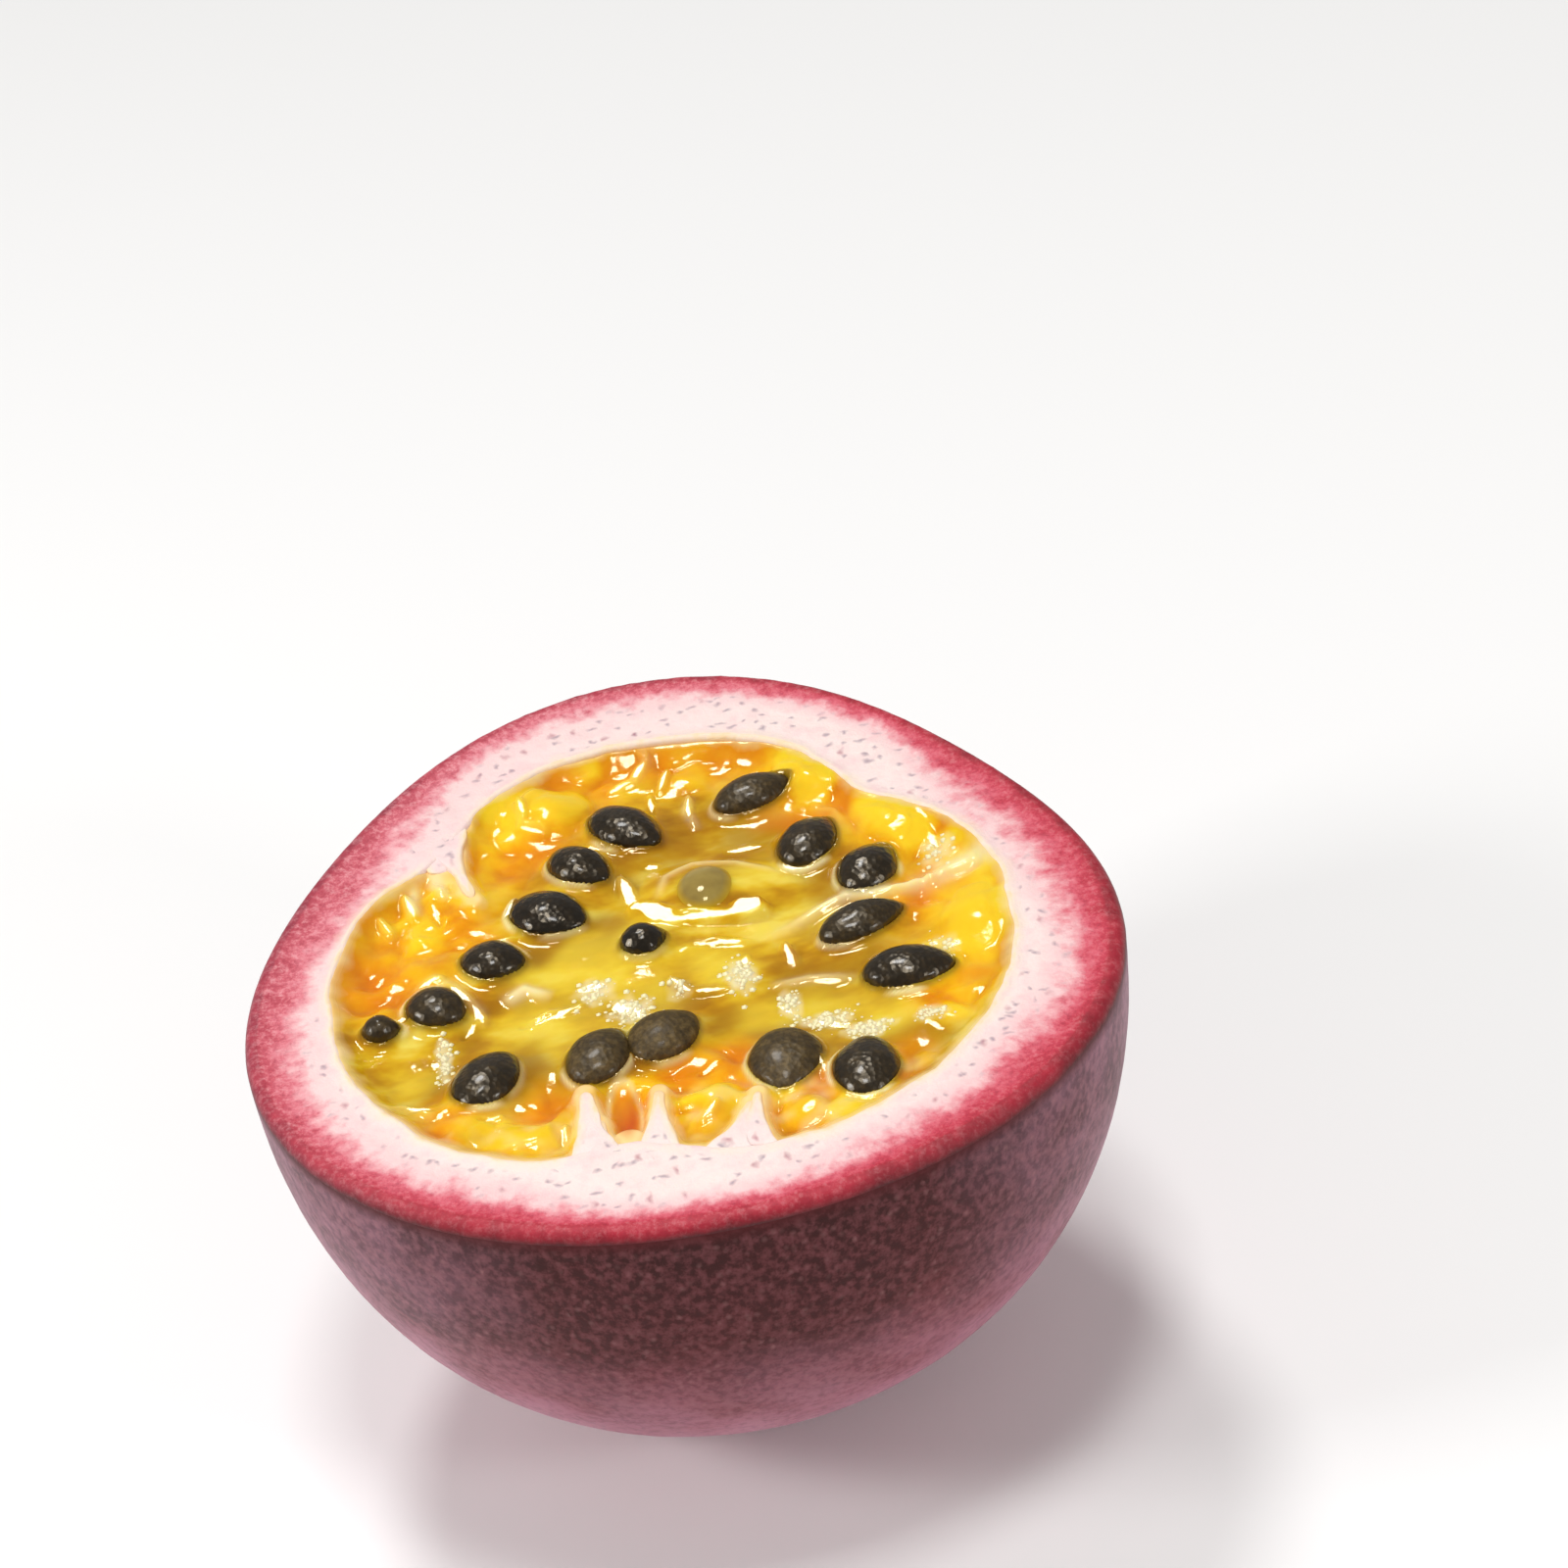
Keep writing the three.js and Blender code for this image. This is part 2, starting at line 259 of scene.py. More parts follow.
# across is the distance inwards over the cut from the skin, inward the distance left to the pulp.
across = bm.verts.layers.float.new("across")
inward = bm.verts.layers.float.new("inward")
for vert in bm.verts:
    radius = hypot(vert.co.x, vert.co.y)
    angle = atan2(vert.co.y, vert.co.x)
    height = vert.co.z
    ring = vert[ring_of]
    placed = place_of(radius, angle, height, vert[share_of])
    outer = place_of(RIM_RADIUS, angle, HEIGHT, 1)
    inner = place_of(CAVITY_RADIUS, angle, HEIGHT, 0)
    on_cut = ring >= first_cut_ring
    beside_stalk = stalk_gap(placed.x, placed.y)
    wave = cut_wave(angle) * clamp((height / HEIGHT - 0.6) / 0.4)
    if on_cut and vert[share_of] > 0:
        from_skin = (outer - placed).xy.length
        to_pulp = (placed - inner).xy.length
        sponge = noise.fractal(placed * 1.3, 1.0, 2.0, 4)
        sunk = 0.16 * clamp((from_skin - 0.5) / 1.5) * clamp(to_pulp / 1.2) * clamp(beside_stalk)
        placed.z += 0.07 * sponge * clamp(from_skin / 0.5) - sunk
    else:
        from_skin = 0 if not on_cut else (outer - inner).xy.length
        to_pulp = 0 if on_cut else (outer - inner).xy.length
        if not on_cut and height > 0.01:
            dimple = noise.fractal(placed * 0.35, 1.0, 2.0, 3)
            placed += placed.normalized() * 0.05 * dimple
    if on_cut and vert[share_of] >= EDGE_SHARE:
        from_skin = (RIM_EDGE - (HEIGHT - height)) * 0.6
    back_left = exp(-(((angle - radians(140) + pi) % (2 * pi) - pi) / radians(28)) ** 2)
    from_skin /= 1 + 0.22 * sin(angle * 2 + 1.9) + 0.12 * sin(angle * 5) + 0.25 * back_left
    placed.z += wave
    vert[across] = from_skin
    vert[inward] = max(to_pulp, 0.9 * clamp(1 - beside_stalk / 0.8)) if on_cut else to_pulp
    vert.co = placed
for face in bm.faces:
    face.material_index = 1 if max(v[ring_of] for v in face.verts) > first_cut_ring - 1 else 0

# Fruit skin, grown, wiped but not polished: pores show as pale speckles about a third of a millimetre wide.
# Painted light in its colour: pale pink low on the body as painted floor bounce, darker upwards as painted
# shade, and pale lilac at the sides as painted sheen, in patches. It is darkest and brownest at the cut.
skin, add = new_material("waxy_maroon_fruit_skin")
place = add("TexCoord").outputs["Object"]
axes = add("SeparateXYZ", {0: place})
rise = axes.outputs["Z"]
upright = add("Mapping", {"Vector": place, "Scale": (1, 1, 0.85)})
# Painted light by height: the colour is pale low on the body as painted floor bounce, and dark near the cut
# as painted shade.
height_shading = add("MapRange", {"Value": rise, "From Min": 2 * MM, "From Max": 33 * MM})
patches = add("TexNoise", {"Vector": place, "Scale": per(8), "Detail": 3})
tone = add("Math", {0: patches, 1: 0.5, 2: -0.25}, operation="MULTIPLY_ADD")
tone_and_shade = add("Math", {0: height_shading, 1: tone})
ground = add(
    "ValToRGB", {"Fac": tone_and_shade},
    stops=[(0.0, "#CC8496"), (0.22, "#B26475"), (0.45, "#7A3238"), (0.7, "#4E1819"), (1.0, "#3C0F0F")],
)
# Painted sheen at the sides, where the skin turns away, and painted floor bounce underneath, in patches.
sideways = add("Math", {0: axes.outputs["X"]}, operation="ABSOLUTE")
sides = add("MapRange", {"Value": sideways, "From Min": 12 * MM, "From Max": 27 * MM, "To Max": 0.54})
under = add("MapRange", {"Value": rise, "From Min": 23 * MM, "From Max": 3 * MM, "To Max": 0.9})
sheen_and_bounce_mask = add("Math", {0: sides, 1: under}, use_clamp=True)
clouds = add("TexNoise", {"Vector": place, "Scale": per(5), "Detail": 3})
broken = add("MapRange", {"Value": clouds, "From Min": 0.3, "From Max": 0.65, "To Min": 0.25})
painted_sheen_and_bounce = add("Math", {0: sheen_and_bounce_mask, 1: broken}, operation="MULTIPLY")
sheen_and_bounce_painted = add("Mix", {0: painted_sheen_and_bounce, 6: ground, 7: "#C68BA2"})

mottle = add("TexNoise", {"Vector": upright, "Scale": per(0.6), "Detail": 3, "Roughness": 0.62})
mottled = add("MapRange", {"Value": mottle, "From Min": 0.42, "From Max": 0.78, "To Max": 0.56})
fleck = add("Mix", {0: sheen_and_bounce_mask, 6: "#96545A", 7: "#D8A0AC"})
paler = add("Mix", {0: mottled, 6: sheen_and_bounce_painted, 7: fleck})
darker = add("MapRange", {"Value": mottle, "From Min": 0.52, "From Max": 0.28, "To Max": 0.33})
dappled = add("Mix", {0: darker, 6: paler, 7: "#260A0A"})
pores = add("TexVoronoi", {"Vector": upright, "Scale": per(0.6)})
kind = add("SeparateColor", {"Color": pores.outputs["Color"]})
open_pore = add("MapRange", {"Value": kind, "From Min": 0.5, "To Max": 0.3})
pore = add("MapRange", {"Value": pores, "From Min": 0.45, "From Max": 0.05})
speck = add("Math", {0: pore, 1: open_pore}, operation="MULTIPLY")
speckled = add("Mix", {0: speck, 6: dappled, 7: "#B88080"})
at_cut = add("MapRange", {"Value": rise, "From Min": 32.2 * MM, "From Max": 33.3 * MM})
reddened = add("Mix", {0: at_cut, 6: speckled, 7: "#520F14"})
leather = add("TexNoise", {"Vector": place, "Scale": per(0.8), "Detail": 4})
relief = add("Bump", {"Height": leather, "Strength": 0.35, "Distance": 0.12 * MM})
wax = add(
    "BsdfPrincipled",
    {
        "Base Color": reddened, "Roughness": 0.45, "IOR": 1.45, "Specular IOR Level": 0.2, "Normal": relief,
        "Sheen Weight": 0.12, "Sheen Roughness": 0.3, "Sheen Tint": "#F0C8E0",
    },
)
add("OutputMaterial", {"Surface": wax})

# Cut flesh: moist and a little translucent. The red layer is darkest at the skin and breaks up inwards into
# clots and fibres. The pith is spongy and white, with the cut ends of fine mauve veins, cream at the pulp.
flesh, add = new_material("cut_rind_and_pith")
place = add("TexCoord").outputs["Object"]
depth = add("Attribute", attribute_name="across").outputs["Fac"]
left = add("Attribute", attribute_name="inward").outputs["Fac"]
level = add("VectorMath", {0: place, 1: (1, 1, 0)}, operation="MULTIPLY")
outward = add("VectorMath", {0: level}, operation="NORMALIZE")
along = add("Math", {0: depth, 1: 0.5 * MM, 2: 25 * MM}, operation="MULTIPLY_ADD")
fibre = add("VectorMath", {0: outward, "Scale": along}, operation="SCALE")
fibres = add("TexNoise", {"Vector": fibre, "Scale": per(0.6), "Detail": 4, "Roughness": 0.6})
clots = add("TexNoise", {"Vector": place, "Scale": per(1.9), "Detail": 6, "Roughness": 0.62})
drift = add("TexNoise", {"Vector": place, "Scale": per(7), "Detail": 2})
frayed = add("Math", {0: fibres, 1: 1.5, 2: -0.95}, operation="MULTIPLY_ADD")
clotted = add("Math", {0: clots, 1: 4.4, 2: frayed}, operation="MULTIPLY_ADD")
drifted = add("Math", {0: drift, 1: 2.4, 2: clotted}, operation="MULTIPLY_ADD")
shift = add("Math", {0: drifted, 1: 3.2}, operation="SUBTRACT")
inner_share = add("MapRange", {"Value": depth, "From Min": 0.15, "From Max": 2.2, "To Min": 0.1})
shifted = add("Math", {0: shift, 1: inner_share, 2: depth}, operation="MULTIPLY_ADD")
layer = add("Math", {0: shifted, 1: 8.0}, operation="DIVIDE")
layers = add(
    "ValToRGB", {"Fac": layer},
    stops=[
        (0.0, "#4E0E14"), (0.03, "#8A1826"), (0.08, "#B42437"), (0.17, "#C9384D"), (0.27, "#D95C6D"),
        (0.36, "#E8989F"), (0.47, "#F2C8C8"), (0.66, "#F6E0DA"),
    ],
)
turned_back = add("VectorMath", {0: place, 1: (-0.85, 0.53, 0)}, operation="DOT_PRODUCT")
dusty_side = add(
    "MapRange", {"Value": turned_back, "From Min": 2 * MM, "From Max": 24 * MM, "To Max": 0.85},
)
dust = add(
    "ValToRGB", {"Fac": layer},
    stops=[
        (0.0, "#5A1626"), (0.03, "#8C2A3E"), (0.08, "#BA4656"), (0.17, "#D0606E"), (0.27, "#DE7C88"),
        (0.36, "#EEB0B4"), (0.46, "#F5D6D3"),
    ],
)
rosy = add("Mix", {0: dusty_side, 6: layers, 7: dust})
grain = add("TexNoise", {"Vector": place, "Scale": per(0.45), "Detail": 4, "Roughness": 0.75})
powdery = add("Math", {0: dusty_side, 1: 0.4, 2: 0.24}, operation="MULTIPLY_ADD")
below_skin = add("MapRange", {"Value": depth, "From Min": -0.1, "From Max": 0.8})
red_side = add("MapRange", {"Value": layer, "From Min": 0.42, "From Max": 0.22, "To Max": below_skin})
pith_part = add("MapRange", {"Value": layer, "From Min": 0.4, "From Max": 0.56})
coloured = rosy     # and each of the next is painted over what is there
for pattern, none, full, most, where, tint in (
    (grain, 0.47, 0.68, powdery, red_side, "#F3B2B6"),      # pale fibres
    (grain, 0.5, 0.3, 0.6, red_side, "#96283A"),            # dark clots
    (clots, 0.48, 0.68, 0.6, pith_part, "#F0C8C8"),         # pink clouds
):
    shown = add("MapRange", {"Value": pattern, "From Min": none, "From Max": full, "To Max": most})
    kept = add("Math", {0: shown, 1: where}, operation="MULTIPLY")
    coloured = add("Mix", {0: kept, 6: coloured, 7: tint})
wander = add("TexNoise", {"Vector": place, "Scale": per(1.2), "Detail": 2})
bent = add("VectorMath", {0: wander.outputs["Color"], "Scale": 1.3 * MM}, operation="SCALE")
bent_place = add("VectorMath", {0: place, 1: bent})
from_pulp = add("MapRange", {"Value": left, "From Min": 0.95, "From Max": 1.3})
in_pith = add("Math", {0: from_pulp, 1: pith_part}, operation="MULTIPLY")
veined = add("Math", {0: in_pith, 1: 0.65}, operation="MULTIPLY")
for spacing, stretch, width, keep, tint in (
    (1.1, (1, 1, 1), 0.18, 0.6, "#7E6A80"), (1.6, (0.7, 1.15, 1), 0.12, 0.5, "#857084"),
    (2.1, (1.15, 0.7, 1), 0.11, 0.5, "#A86070"),
):
    spots_at = add("Mapping", {"Vector": bent_place, "Scale": stretch})
    veins = add("TexVoronoi", {"Vector": spots_at, "Scale": per(spacing)}, voronoi_dimensions="2D")
    vein = add("MapRange", {"Value": veins, "From Min": width * 1.5, "From Max": width * 0.1})
    kind = add("SeparateColor", {"Color": veins.outputs["Color"]})
    chosen = add("Math", {0: kind, 1: keep}, operation="GREATER_THAN")
    dots = add("Math", {0: vein, 1: chosen}, operation="MULTIPLY")
    dotted = add("Math", {0: dots, 1: veined}, operation="MULTIPLY")
    coloured = add("Mix", {0: dotted, 6: coloured, 7: tint})
ragged = add("Math", {0: clots, 1: 2.4, 2: left}, operation="MULTIPLY_ADD")
for none, full, most, tint in ((2.3, 1.2, 0.85, "#F8E2CA"), (1.35, 0.85, 0.7, "#F8D49A")):
    soaked = add("MapRange", {"Value": ragged, "From Min": none, "From Max": full, "To Max": most})
    coloured = add("Mix", {0: soaked, 6: coloured, 7: tint})
axes = add("SeparateXYZ", {0: place})
low = add("MapRange", {"Value": axes.outputs["Z"], "From Min": 33.9 * MM, "From Max": 33.4 * MM})
on_wall = add("Math", {0: left, 1: 0.02}, operation="LESS_THAN")
juicy = add("Math", {0: low, 1: on_wall}, operation="MULTIPLY")
stained = add("Mix", {0: juicy, 6: coloured, 7: "#F4BC64"})
pits = add("TexNoise", {"Vector": place, "Scale": per(0.6), "Detail": 5, "Roughness": 0.7})
relief = add("Bump", {"Height": pits, "Strength": 0.45, "Distance": 0.2 * MM})
cut = add(
    "BsdfPrincipled",
    {
        "Base Color": stained, "Roughness": 0.5, "IOR": 1.4, "Normal": relief, "Subsurface Weight": 0.06,
        "Subsurface Radius": (1.0, 0.5, 0.35), "Subsurface Scale": 0.6 * MM,
    },
)
add("OutputMaterial", {"Surface": cut})

peel = finished("peel_dressed", bm, skin, flesh)
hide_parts("peel")


# ------------------------------------------------------------------------------
# Stalks: fleshy pegs on the ridges, broad at the pith that they grow from, each of which held a seed. They
# are white pith with a pink flush. The cut went through them, and the juice makes their edges cream.

STALK_DEPTH = 0.4       # centre line below the cut
STALK_RINGS = 14
STALK_AROUND = 24
STALK_END = 0.86        # where the rounded tip begins, as a share of the length

bm = bmesh.new()
across = bm.verts.layers.float.new("across")
inward = bm.verts.layers.float.new("inward")
for (rx, ry), (tx, ty), *thick in STALKS:
    reach = hypot(tx - rx, ty - ry)
    chain = [bm.verts.new((0, 0, 0))]
    for i in range(STALK_RINGS + 1):
        part = i / STALK_RINGS
        tip = (1 - max(0, (part - STALK_END) / (1 - STALK_END)) ** 2) ** 0.5
        chain.append(bm.verts.new((stalk_radius(part, *thick) * tip, 0, part * reach)))
    spin_round(bm, chain, STALK_AROUND)
    aim = Vector((tx - rx, ty - ry, 0)).to_track_quat("Z", "Y")
    for vert in [v for v in bm.verts if not v.tag]:
        part = vert.co.z / reach
        rough = 0.35 * noise.fractal(vert.co * 0.5 + Vector((rx, ry, 0)), 1.0, 2.0, 2)
        vert.co += Vector((vert.co.x, vert.co.y, 0)) * rough
        vert.co = aim @ vert.co + Vector((rx, ry, HEIGHT - STALK_DEPTH))
        cut_at = HEIGHT + cut_wave(atan2(vert.co.y, vert.co.x))
        top = cut_at + 0.03 + 0.03 * noise.noise(vert.co * 0.9)
        top -= 0.25 * part ** 2 + 0.15 * clamp(1 - part * 5)
        inside = -stalk_gap(vert.co.x, vert.co.y)
        soaked = 1.3 * part ** 2 * min(1, 0.9 / thick[0])
        vert[across] = 6 - 1.6 * part
        vert[inward] = 2.4 * min(inside, 0.6) - soaked - 1.2 * max(0, top - vert.co.z)
        vert.co.z = min(vert.co.z, top)
        vert.tag = True
bmesh.ops.recalc_face_normals(bm, faces=bm.faces)

stalks = finished("stalks", bm, flesh)
subdivide = stalks.modifiers.new("rounding", "SUBSURF")
subdivide.levels = subdivide.render_levels = 2
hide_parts("peel")


# ------------------------------------------------------------------------------
# Pulp: soft flesh and clear juice, one wet body that fills the bowl. Near the wall it is a band of small
# yellow and orange sacs pressed together, in the middle an olive-yellow jelly that has run into one pool.
# It climbs the wall and each seed, and its surface is taut and glossy, drawn up over strands and folds.

PULP_DEPTH = 1.7        # the flat pulp below the cut
CREEP = 1.3             # how high it climbs the wall, and how far from the wall that starts
CREEP_WIDTH = 1.5
SAC_RISE = 0.6          # each seed's sac: height and spread
SAC_SPREAD = 3.4
SEED_LIFT = 0.1         # a seed's middle above the flat pulp
SEED_THICKNESS = 2.6
PULP_GRID = 290
SKIRT_STEPS = 5
INTO_WALL = 0.06        # the pulp's edge reaches this far into the peel, so no gap shows

# Each seed: where, how long and wide, which way it points, and how dry its top is.
SEEDS = (
    (6.5, 15.5, 5.8, 3.6, 18, 0.5), (-2.5, 14, 6, 4, -45, 0.1), (-6, 10.5, 5, 3.6, -45, 0.1),
    (9.5, 9, 5.4, 4, 55, 0.2), (13, 5, 5.2, 4, 55, 0.1), (-8.5, 6, 5.6, 4.4, -32, 0),
    (11.8, -0.5, 6.2, 3.4, 20, 0.3), (-12.5, 2, 4.4, 3.8, -15, 0.1), (-2.5, 1.5, 3.2, 3, 10, 0),
    (14.1, -6.1, 6.2, 3.9, -3, 0.1), (-16.5, -2, 4.2, 3.8, -35, 0.3), (-20.2, -3.5, 2.6, 2.4, 0, 0.4),
    (-13.8, -9.9, 5.8, 4.2, 54, 0.2), (-6.5, -9.5, 5.4, 4.2, 62, 0.75), (-2.2, -8.6, 5.4, 4.4, 40, 1),
    (5.1, -13, 5.8, 4.9, -100, 0.8), (10, -15.2, 6, 4.4, 80, 0.2),
)
PALE_SEED = (2.1, 6.0, 4.2, 4.9, -12)

# Lumps of the flesh: where, how high and how wide.
LUMPS = (
    (-8, 17, 1.2, 2.6), (11, 16.5, 1.1, 2.2), (15.5, 10, 1.2, 2.4), (19.5, -1.5, 1.3, 2.8),
    (-15, 8, 1.2, 3), (-17.5, 2.5, 1, 2.4), (-16, -13, 0.8, 2.2), (-11.5, -16.5, 1, 2.4),
    (0, -16, 1.1, 2.2), (6.5, -18, 1, 2), (14.5, -11, 0.6, 2.4), (3.5, -3.5, 0.5, 3.2),
)

# Where the body is flesh and not jelly, where its sacs are full and yellow, and where it is thick and deep
# orange: place and spread.
FLESHY = (
    (-9, 17.5, 4.5), (-14, 11, 3.5), (-18, 5, 4.5), (-20.5, 0.5, 3.2), (-12, -16.5, 3), (-17, -13.5, 2.2),
    (-6.5, -16.5, 2.8), (-2, -16, 3), (4.5, -18, 3), (8.5, -18.5, 2.6), (19.5, 0, 4.6), (18, -6, 3.2),
    (19, 5, 3.5), (16.5, 9.5, 3.8), (13, 13, 3.5), (9.5, 18, 3.2), (3, 21, 2.8), (-3, 20.5, 2.6),
    (0.2, -12.6, 2.2), (3, -14.5, 2.4), (-3.5, -13.4, 1.8), (7.6, -16, 2), (12.6, -14.5, 1.5),
    (2, -10.8, 1.4), (16, -9, 2.4), (15.6, 2.4, 1.6), (-10.6, -13.6, 1.8), (-11, 14.6, 2.2),
    (-14.4, 5.4, 1.8),
)
FULL = (
    (-6.9, 18, 1.6), (-10.5, 16.6, 1.5), (9.6, 17, 1.5), (10.6, 14.4, 1.2), (14.6, 10.6, 1.6),
    (16.8, 8.2, 1.3), (18.8, -1.4, 2.4), (20.4, -3.4, 1.6), (18.6, -6.8, 1.8), (-16.6, 6.2, 1.2),
    (-15.2, 9.4, 1.2), (-13.5, -15.6, 1.6), (-10, -16.8, 1.4), (0.2, -15.6, 1.6), (1.6, -18, 1.4),
    (8.2, -18.6, 1.4), (10.2, -18.4, 1), (2.2, 20, 1.2), (-1.4, 18.4, 1.3), (16.2, -11.4, 1.2),
    (-11.5, 18.4, 1.3),
)
DEEP = (
    (-21.2, 3, 1.5), (-20.2, 8, 1.1), (5.5, 21.6, 2.4), (0.5, 22.4, 2.2), (11.6, 12, 1.6),
    (8.5, 12.6, 1.4), (17.5, 2, 1.4), (-5.4, -15.8, 0.9), (-10.4, -13.2, 1.3), (-0.6, -12.4, 1.2),
    (6.6, -17, 0.9), (-6, 21, 1.2), (18.6, -7.6, 1), (3, -18.2, 0.9), (2.2, -11.6, 1.4), (-1, -13, 1.2),
    (7.6, -15.4, 1.1), (12.4, -16.6, 0.8), (-4.7, -16.4, 0.9), (-4.4, -18, 0.7), (15.4, 1.4, 1.2),
    (-9, 14.2, 1.1), (8, 20.4, 1.2), (13.6, 14.8, 1.1), (-21.2, 1, 1.1), (-17.4, -15, 1),
)

# Ridges that the taut surface is drawn up over: height, half width, how pale, and the points along.
FOLDS = (
    (0.55, 0.55, 1.0, (20.6, 3.6), (18.1, 3.2), (15.1, 2.5), (13, 2.3), (11.2, 2.7), (9.2, 2), (5.2, -0.1)),
    (0.35, 1.0, 0.9, (22, 3.4), (20, 3.8), (17.6, 3.3), (15.4, 2.6)),
    (0.25, 0.4, 0.5, (10.8, -5.4), (7.6, -4.7), (5, -4.9)),
    (0.35, 0.4, 0.9, (-15.6, 12.6), (-15.6, 10.8), (-14.9, 9.2)),
    (0.3, 0.4, 0.8, (-17, 11.4), (-17.4, 9.6), (-17.2, 8)),
    (0.4, 0.45, 0.2, (-0.8, 23.4), (-0.2, 21.4), (-1.4, 19.8), (-3.4, 19)),
    (0.35, 0.4, 0.1, (-8, 20), (-9.4, 18.2), (-9.4, 16.4), (-7.6, 14.9)),
    (0.3, 0.4, 0.1, (10, 13), (11.6, 11.9), (12, 9.2)),
    (0.3, 0.45, 0.0, (-2.6, 5.2), (0.4, 3.7), (3.2, 3), (6.2, 2.6)),
    (0.28, 0.4, 0.0, (-0.6, 0.4), (2.2, 0.9), (4.6, -0.2)),
    (0.3, 0.4, 0.3, (-18, 0.2), (-16.4, 1), (-15, 0), (-13.8, -2.4), (-13.6, -4)),
    (0.3, 0.5, 1.0, (-12.2, -2), (-10.7, -0.9), (-8.9, -1.7)),
    (0.3, 0.35, 0.1, (-10.9, -4.6), (-9.4, -3.3), (-6.6, -3.4)),
    (0.3, 0.35, 0.0, (-1.6, -2.2), (0, -3.9), (2.2, -4.4)),
    (0.4, 0.4, 0.2, (-21.2, -11.6), (-19.2, -11), (-17.2, -12.6)),
    (0.35, 0.35, 0.1, (-18, 10.4), (-17.3, 7.8)), (0.3, 0.3, 0.1, (-19.8, 8.6), (-18.8, 6.4)),
    (0.3, 0.35, 0.1, (6.6, -0.8), (6.9, -3.4)), (0.3, 0.35, 0.4, (2.2, 17.4), (1.8, 15.4), (2.4, 13.2)),
    (0.3, 0.3, 0.1, (6, -9.8), (7.4, -12)), (0.25, 0.3, 0.1, (1, 20.2), (0.2, 18)),
    (0.2, 0.3, 0.6, (-1.2, 5.8), (-0.4, 8), (1.6, 9), (4.4, 8.4), (7.8, 6.2)),
    (0.3, 0.35, 0.1, (-3.4, 8.8), (-2.8, 6.2)), (0.3, 0.3, 0.1, (-0.4, -17.8), (0.6, -16.2)),
)

# Single sacs that swell out of the pulp, clear and smooth: place, half length, half width, turn, rise, and
# how orange each is.
BLISTERS = (
    (3, 6.1, 4.6, 2.9, -14, 0.6, 0), (-5.45, -15.6, 2.8, 0.85, 90, 0.45, 1),
    (-6.9, 17.8, 2.0, 1.8, 0, 0.55, 0), (10, 16, 2.7, 1.3, -72, 0.45, 0),
    (14.5, 10.2, 2.5, 1.3, -64, 0.45, 0), (19, -2.4, 2.6, 1.8, 75, 0.5, 0),
    (-9.3, -15.4, 1.9, 0.8, 80, 0.4, 0.2), (5.4, -18.5, 1.5, 1.2, 20, 0.5, 0.3),
    (8.6, -19, 1.4, 1.2, 30, 0.4, 0), (-0.2, -18.4, 2.0, 1.3, 60, 0.5, 0.4),
    (-13, -15.8, 2.0, 1.2, -20, 0.4, 0),
)

# Facets where the film of juice lies smooth and catches the light: place, half length, half width, turn.
FACETS = (
    (-3.05, 7.5, 1.4, 0.5, 100), (-1.2, 9.9, 0.6, 0.3, 7), (0.6, 19.1, 1.1, 0.3, 66),
    (-0.5, 17, 1.0, 0.3, 90), (-0.5, 22.4, 1.2, 0.35, -80), (-1, 20.5, 0.9, 0.35, 55),
    (-2.5, 19.4, 0.9, 0.3, 25), (-9.3, 17.6, 0.9, 0.3, 95), (-8.8, 15.5, 1.0, 0.4, -35),
    (-5, 12.7, 1.1, 0.3, -25), (-11, 7.3, 0.9, 0.3, 60), (-17.6, 9, 1.2, 0.4, 104),
    (-19.3, 7.5, 0.9, 0.3, 114), (-15.9, 8, 1.2, 0.35, 99), (-20, 2.4, 0.5, 0.3, 60),
    (-18.9, 1.2, 0.6, 0.3, -40), (-16.9, 0.7, 1.1, 0.28, 20), (-14.9, -0.8, 1.2, 0.4, -55),
    (-13.8, -3, 0.9, 0.35, -80), (-14.5, -4.1, 0.8, 0.3, 50), (-18.8, -2.4, 0.5, 0.35, 0),
    (-17, -7, 0.5, 0.25, 70), (-19.3, -11.5, 2.0, 0.35, -6), (-12, -12.7, 0.4, 0.35, 0),
    (-9, -3.7, 2.0, 0.3, 14), (-6.4, -1.5, 0.9, 0.5, 0), (-4.3, -4.5, 1.3, 0.6, -40),
    (2.3, 0.5, 2.1, 0.28, -8), (-0.6, -3.3, 1.0, 0.35, -52), (1.3, -4.4, 1.2, 0.3, -6),
    (6.7, -2.1, 1.2, 0.4, -80), (5.2, 10.3, 1.4, 0.4, -3), (4.7, 19.2, 0.9, 0.28, 5),
    (2, 15.8, 1.2, 0.28, 84), (11.2, 16.8, 0.8, 0.28, -20), (12.3, 14.6, 0.9, 0.28, -80),
    (17.7, 6.8, 0.9, 0.35, -70), (8.3, 6.7, 0.9, 0.3, -10), (14.3, -8.7, 1.0, 0.25, 0),
    (7.3, -14.2, 1.1, 0.28, 95), (0.3, -12.1, 0.9, 0.3, 40), (-0.2, -17.2, 0.9, 0.3, 50),
    (6.1, -18.4, 0.5, 0.3, 30), (5.8, -7.2, 0.7, 0.3, -40), (8.6, -9.6, 1.4, 0.4, -35),
    (14.8, -12, 0.8, 0.35, -60), (16, -4, 0.5, 0.3, 20), (-2.6, 11.7, 0.6, 0.25, 20),
    (9.8, -18.4, 0.7, 0.25, 5), (-12.2, 4.2, 1.3, 0.22, 5), (3.8, -1.9, 0.6, 0.3, 70),
    (-9.4, -16.8, 0.9, 0.3, 80), (-13.8, -13.6, 0.7, 0.25, 10),
)
FACET_SLOPE = (0.08, 0.22)      # how such a facet leans: its rise to the right and to the back
# The widest streak of light, in three facets that lie on one plane.
GLARE = ((-1.6, 4.6, 1.7, 0.75, -30), (1.9, 3.1, 3.4, 0.45, -9), (4.7, 3.2, 1.2, 0.75, -6))
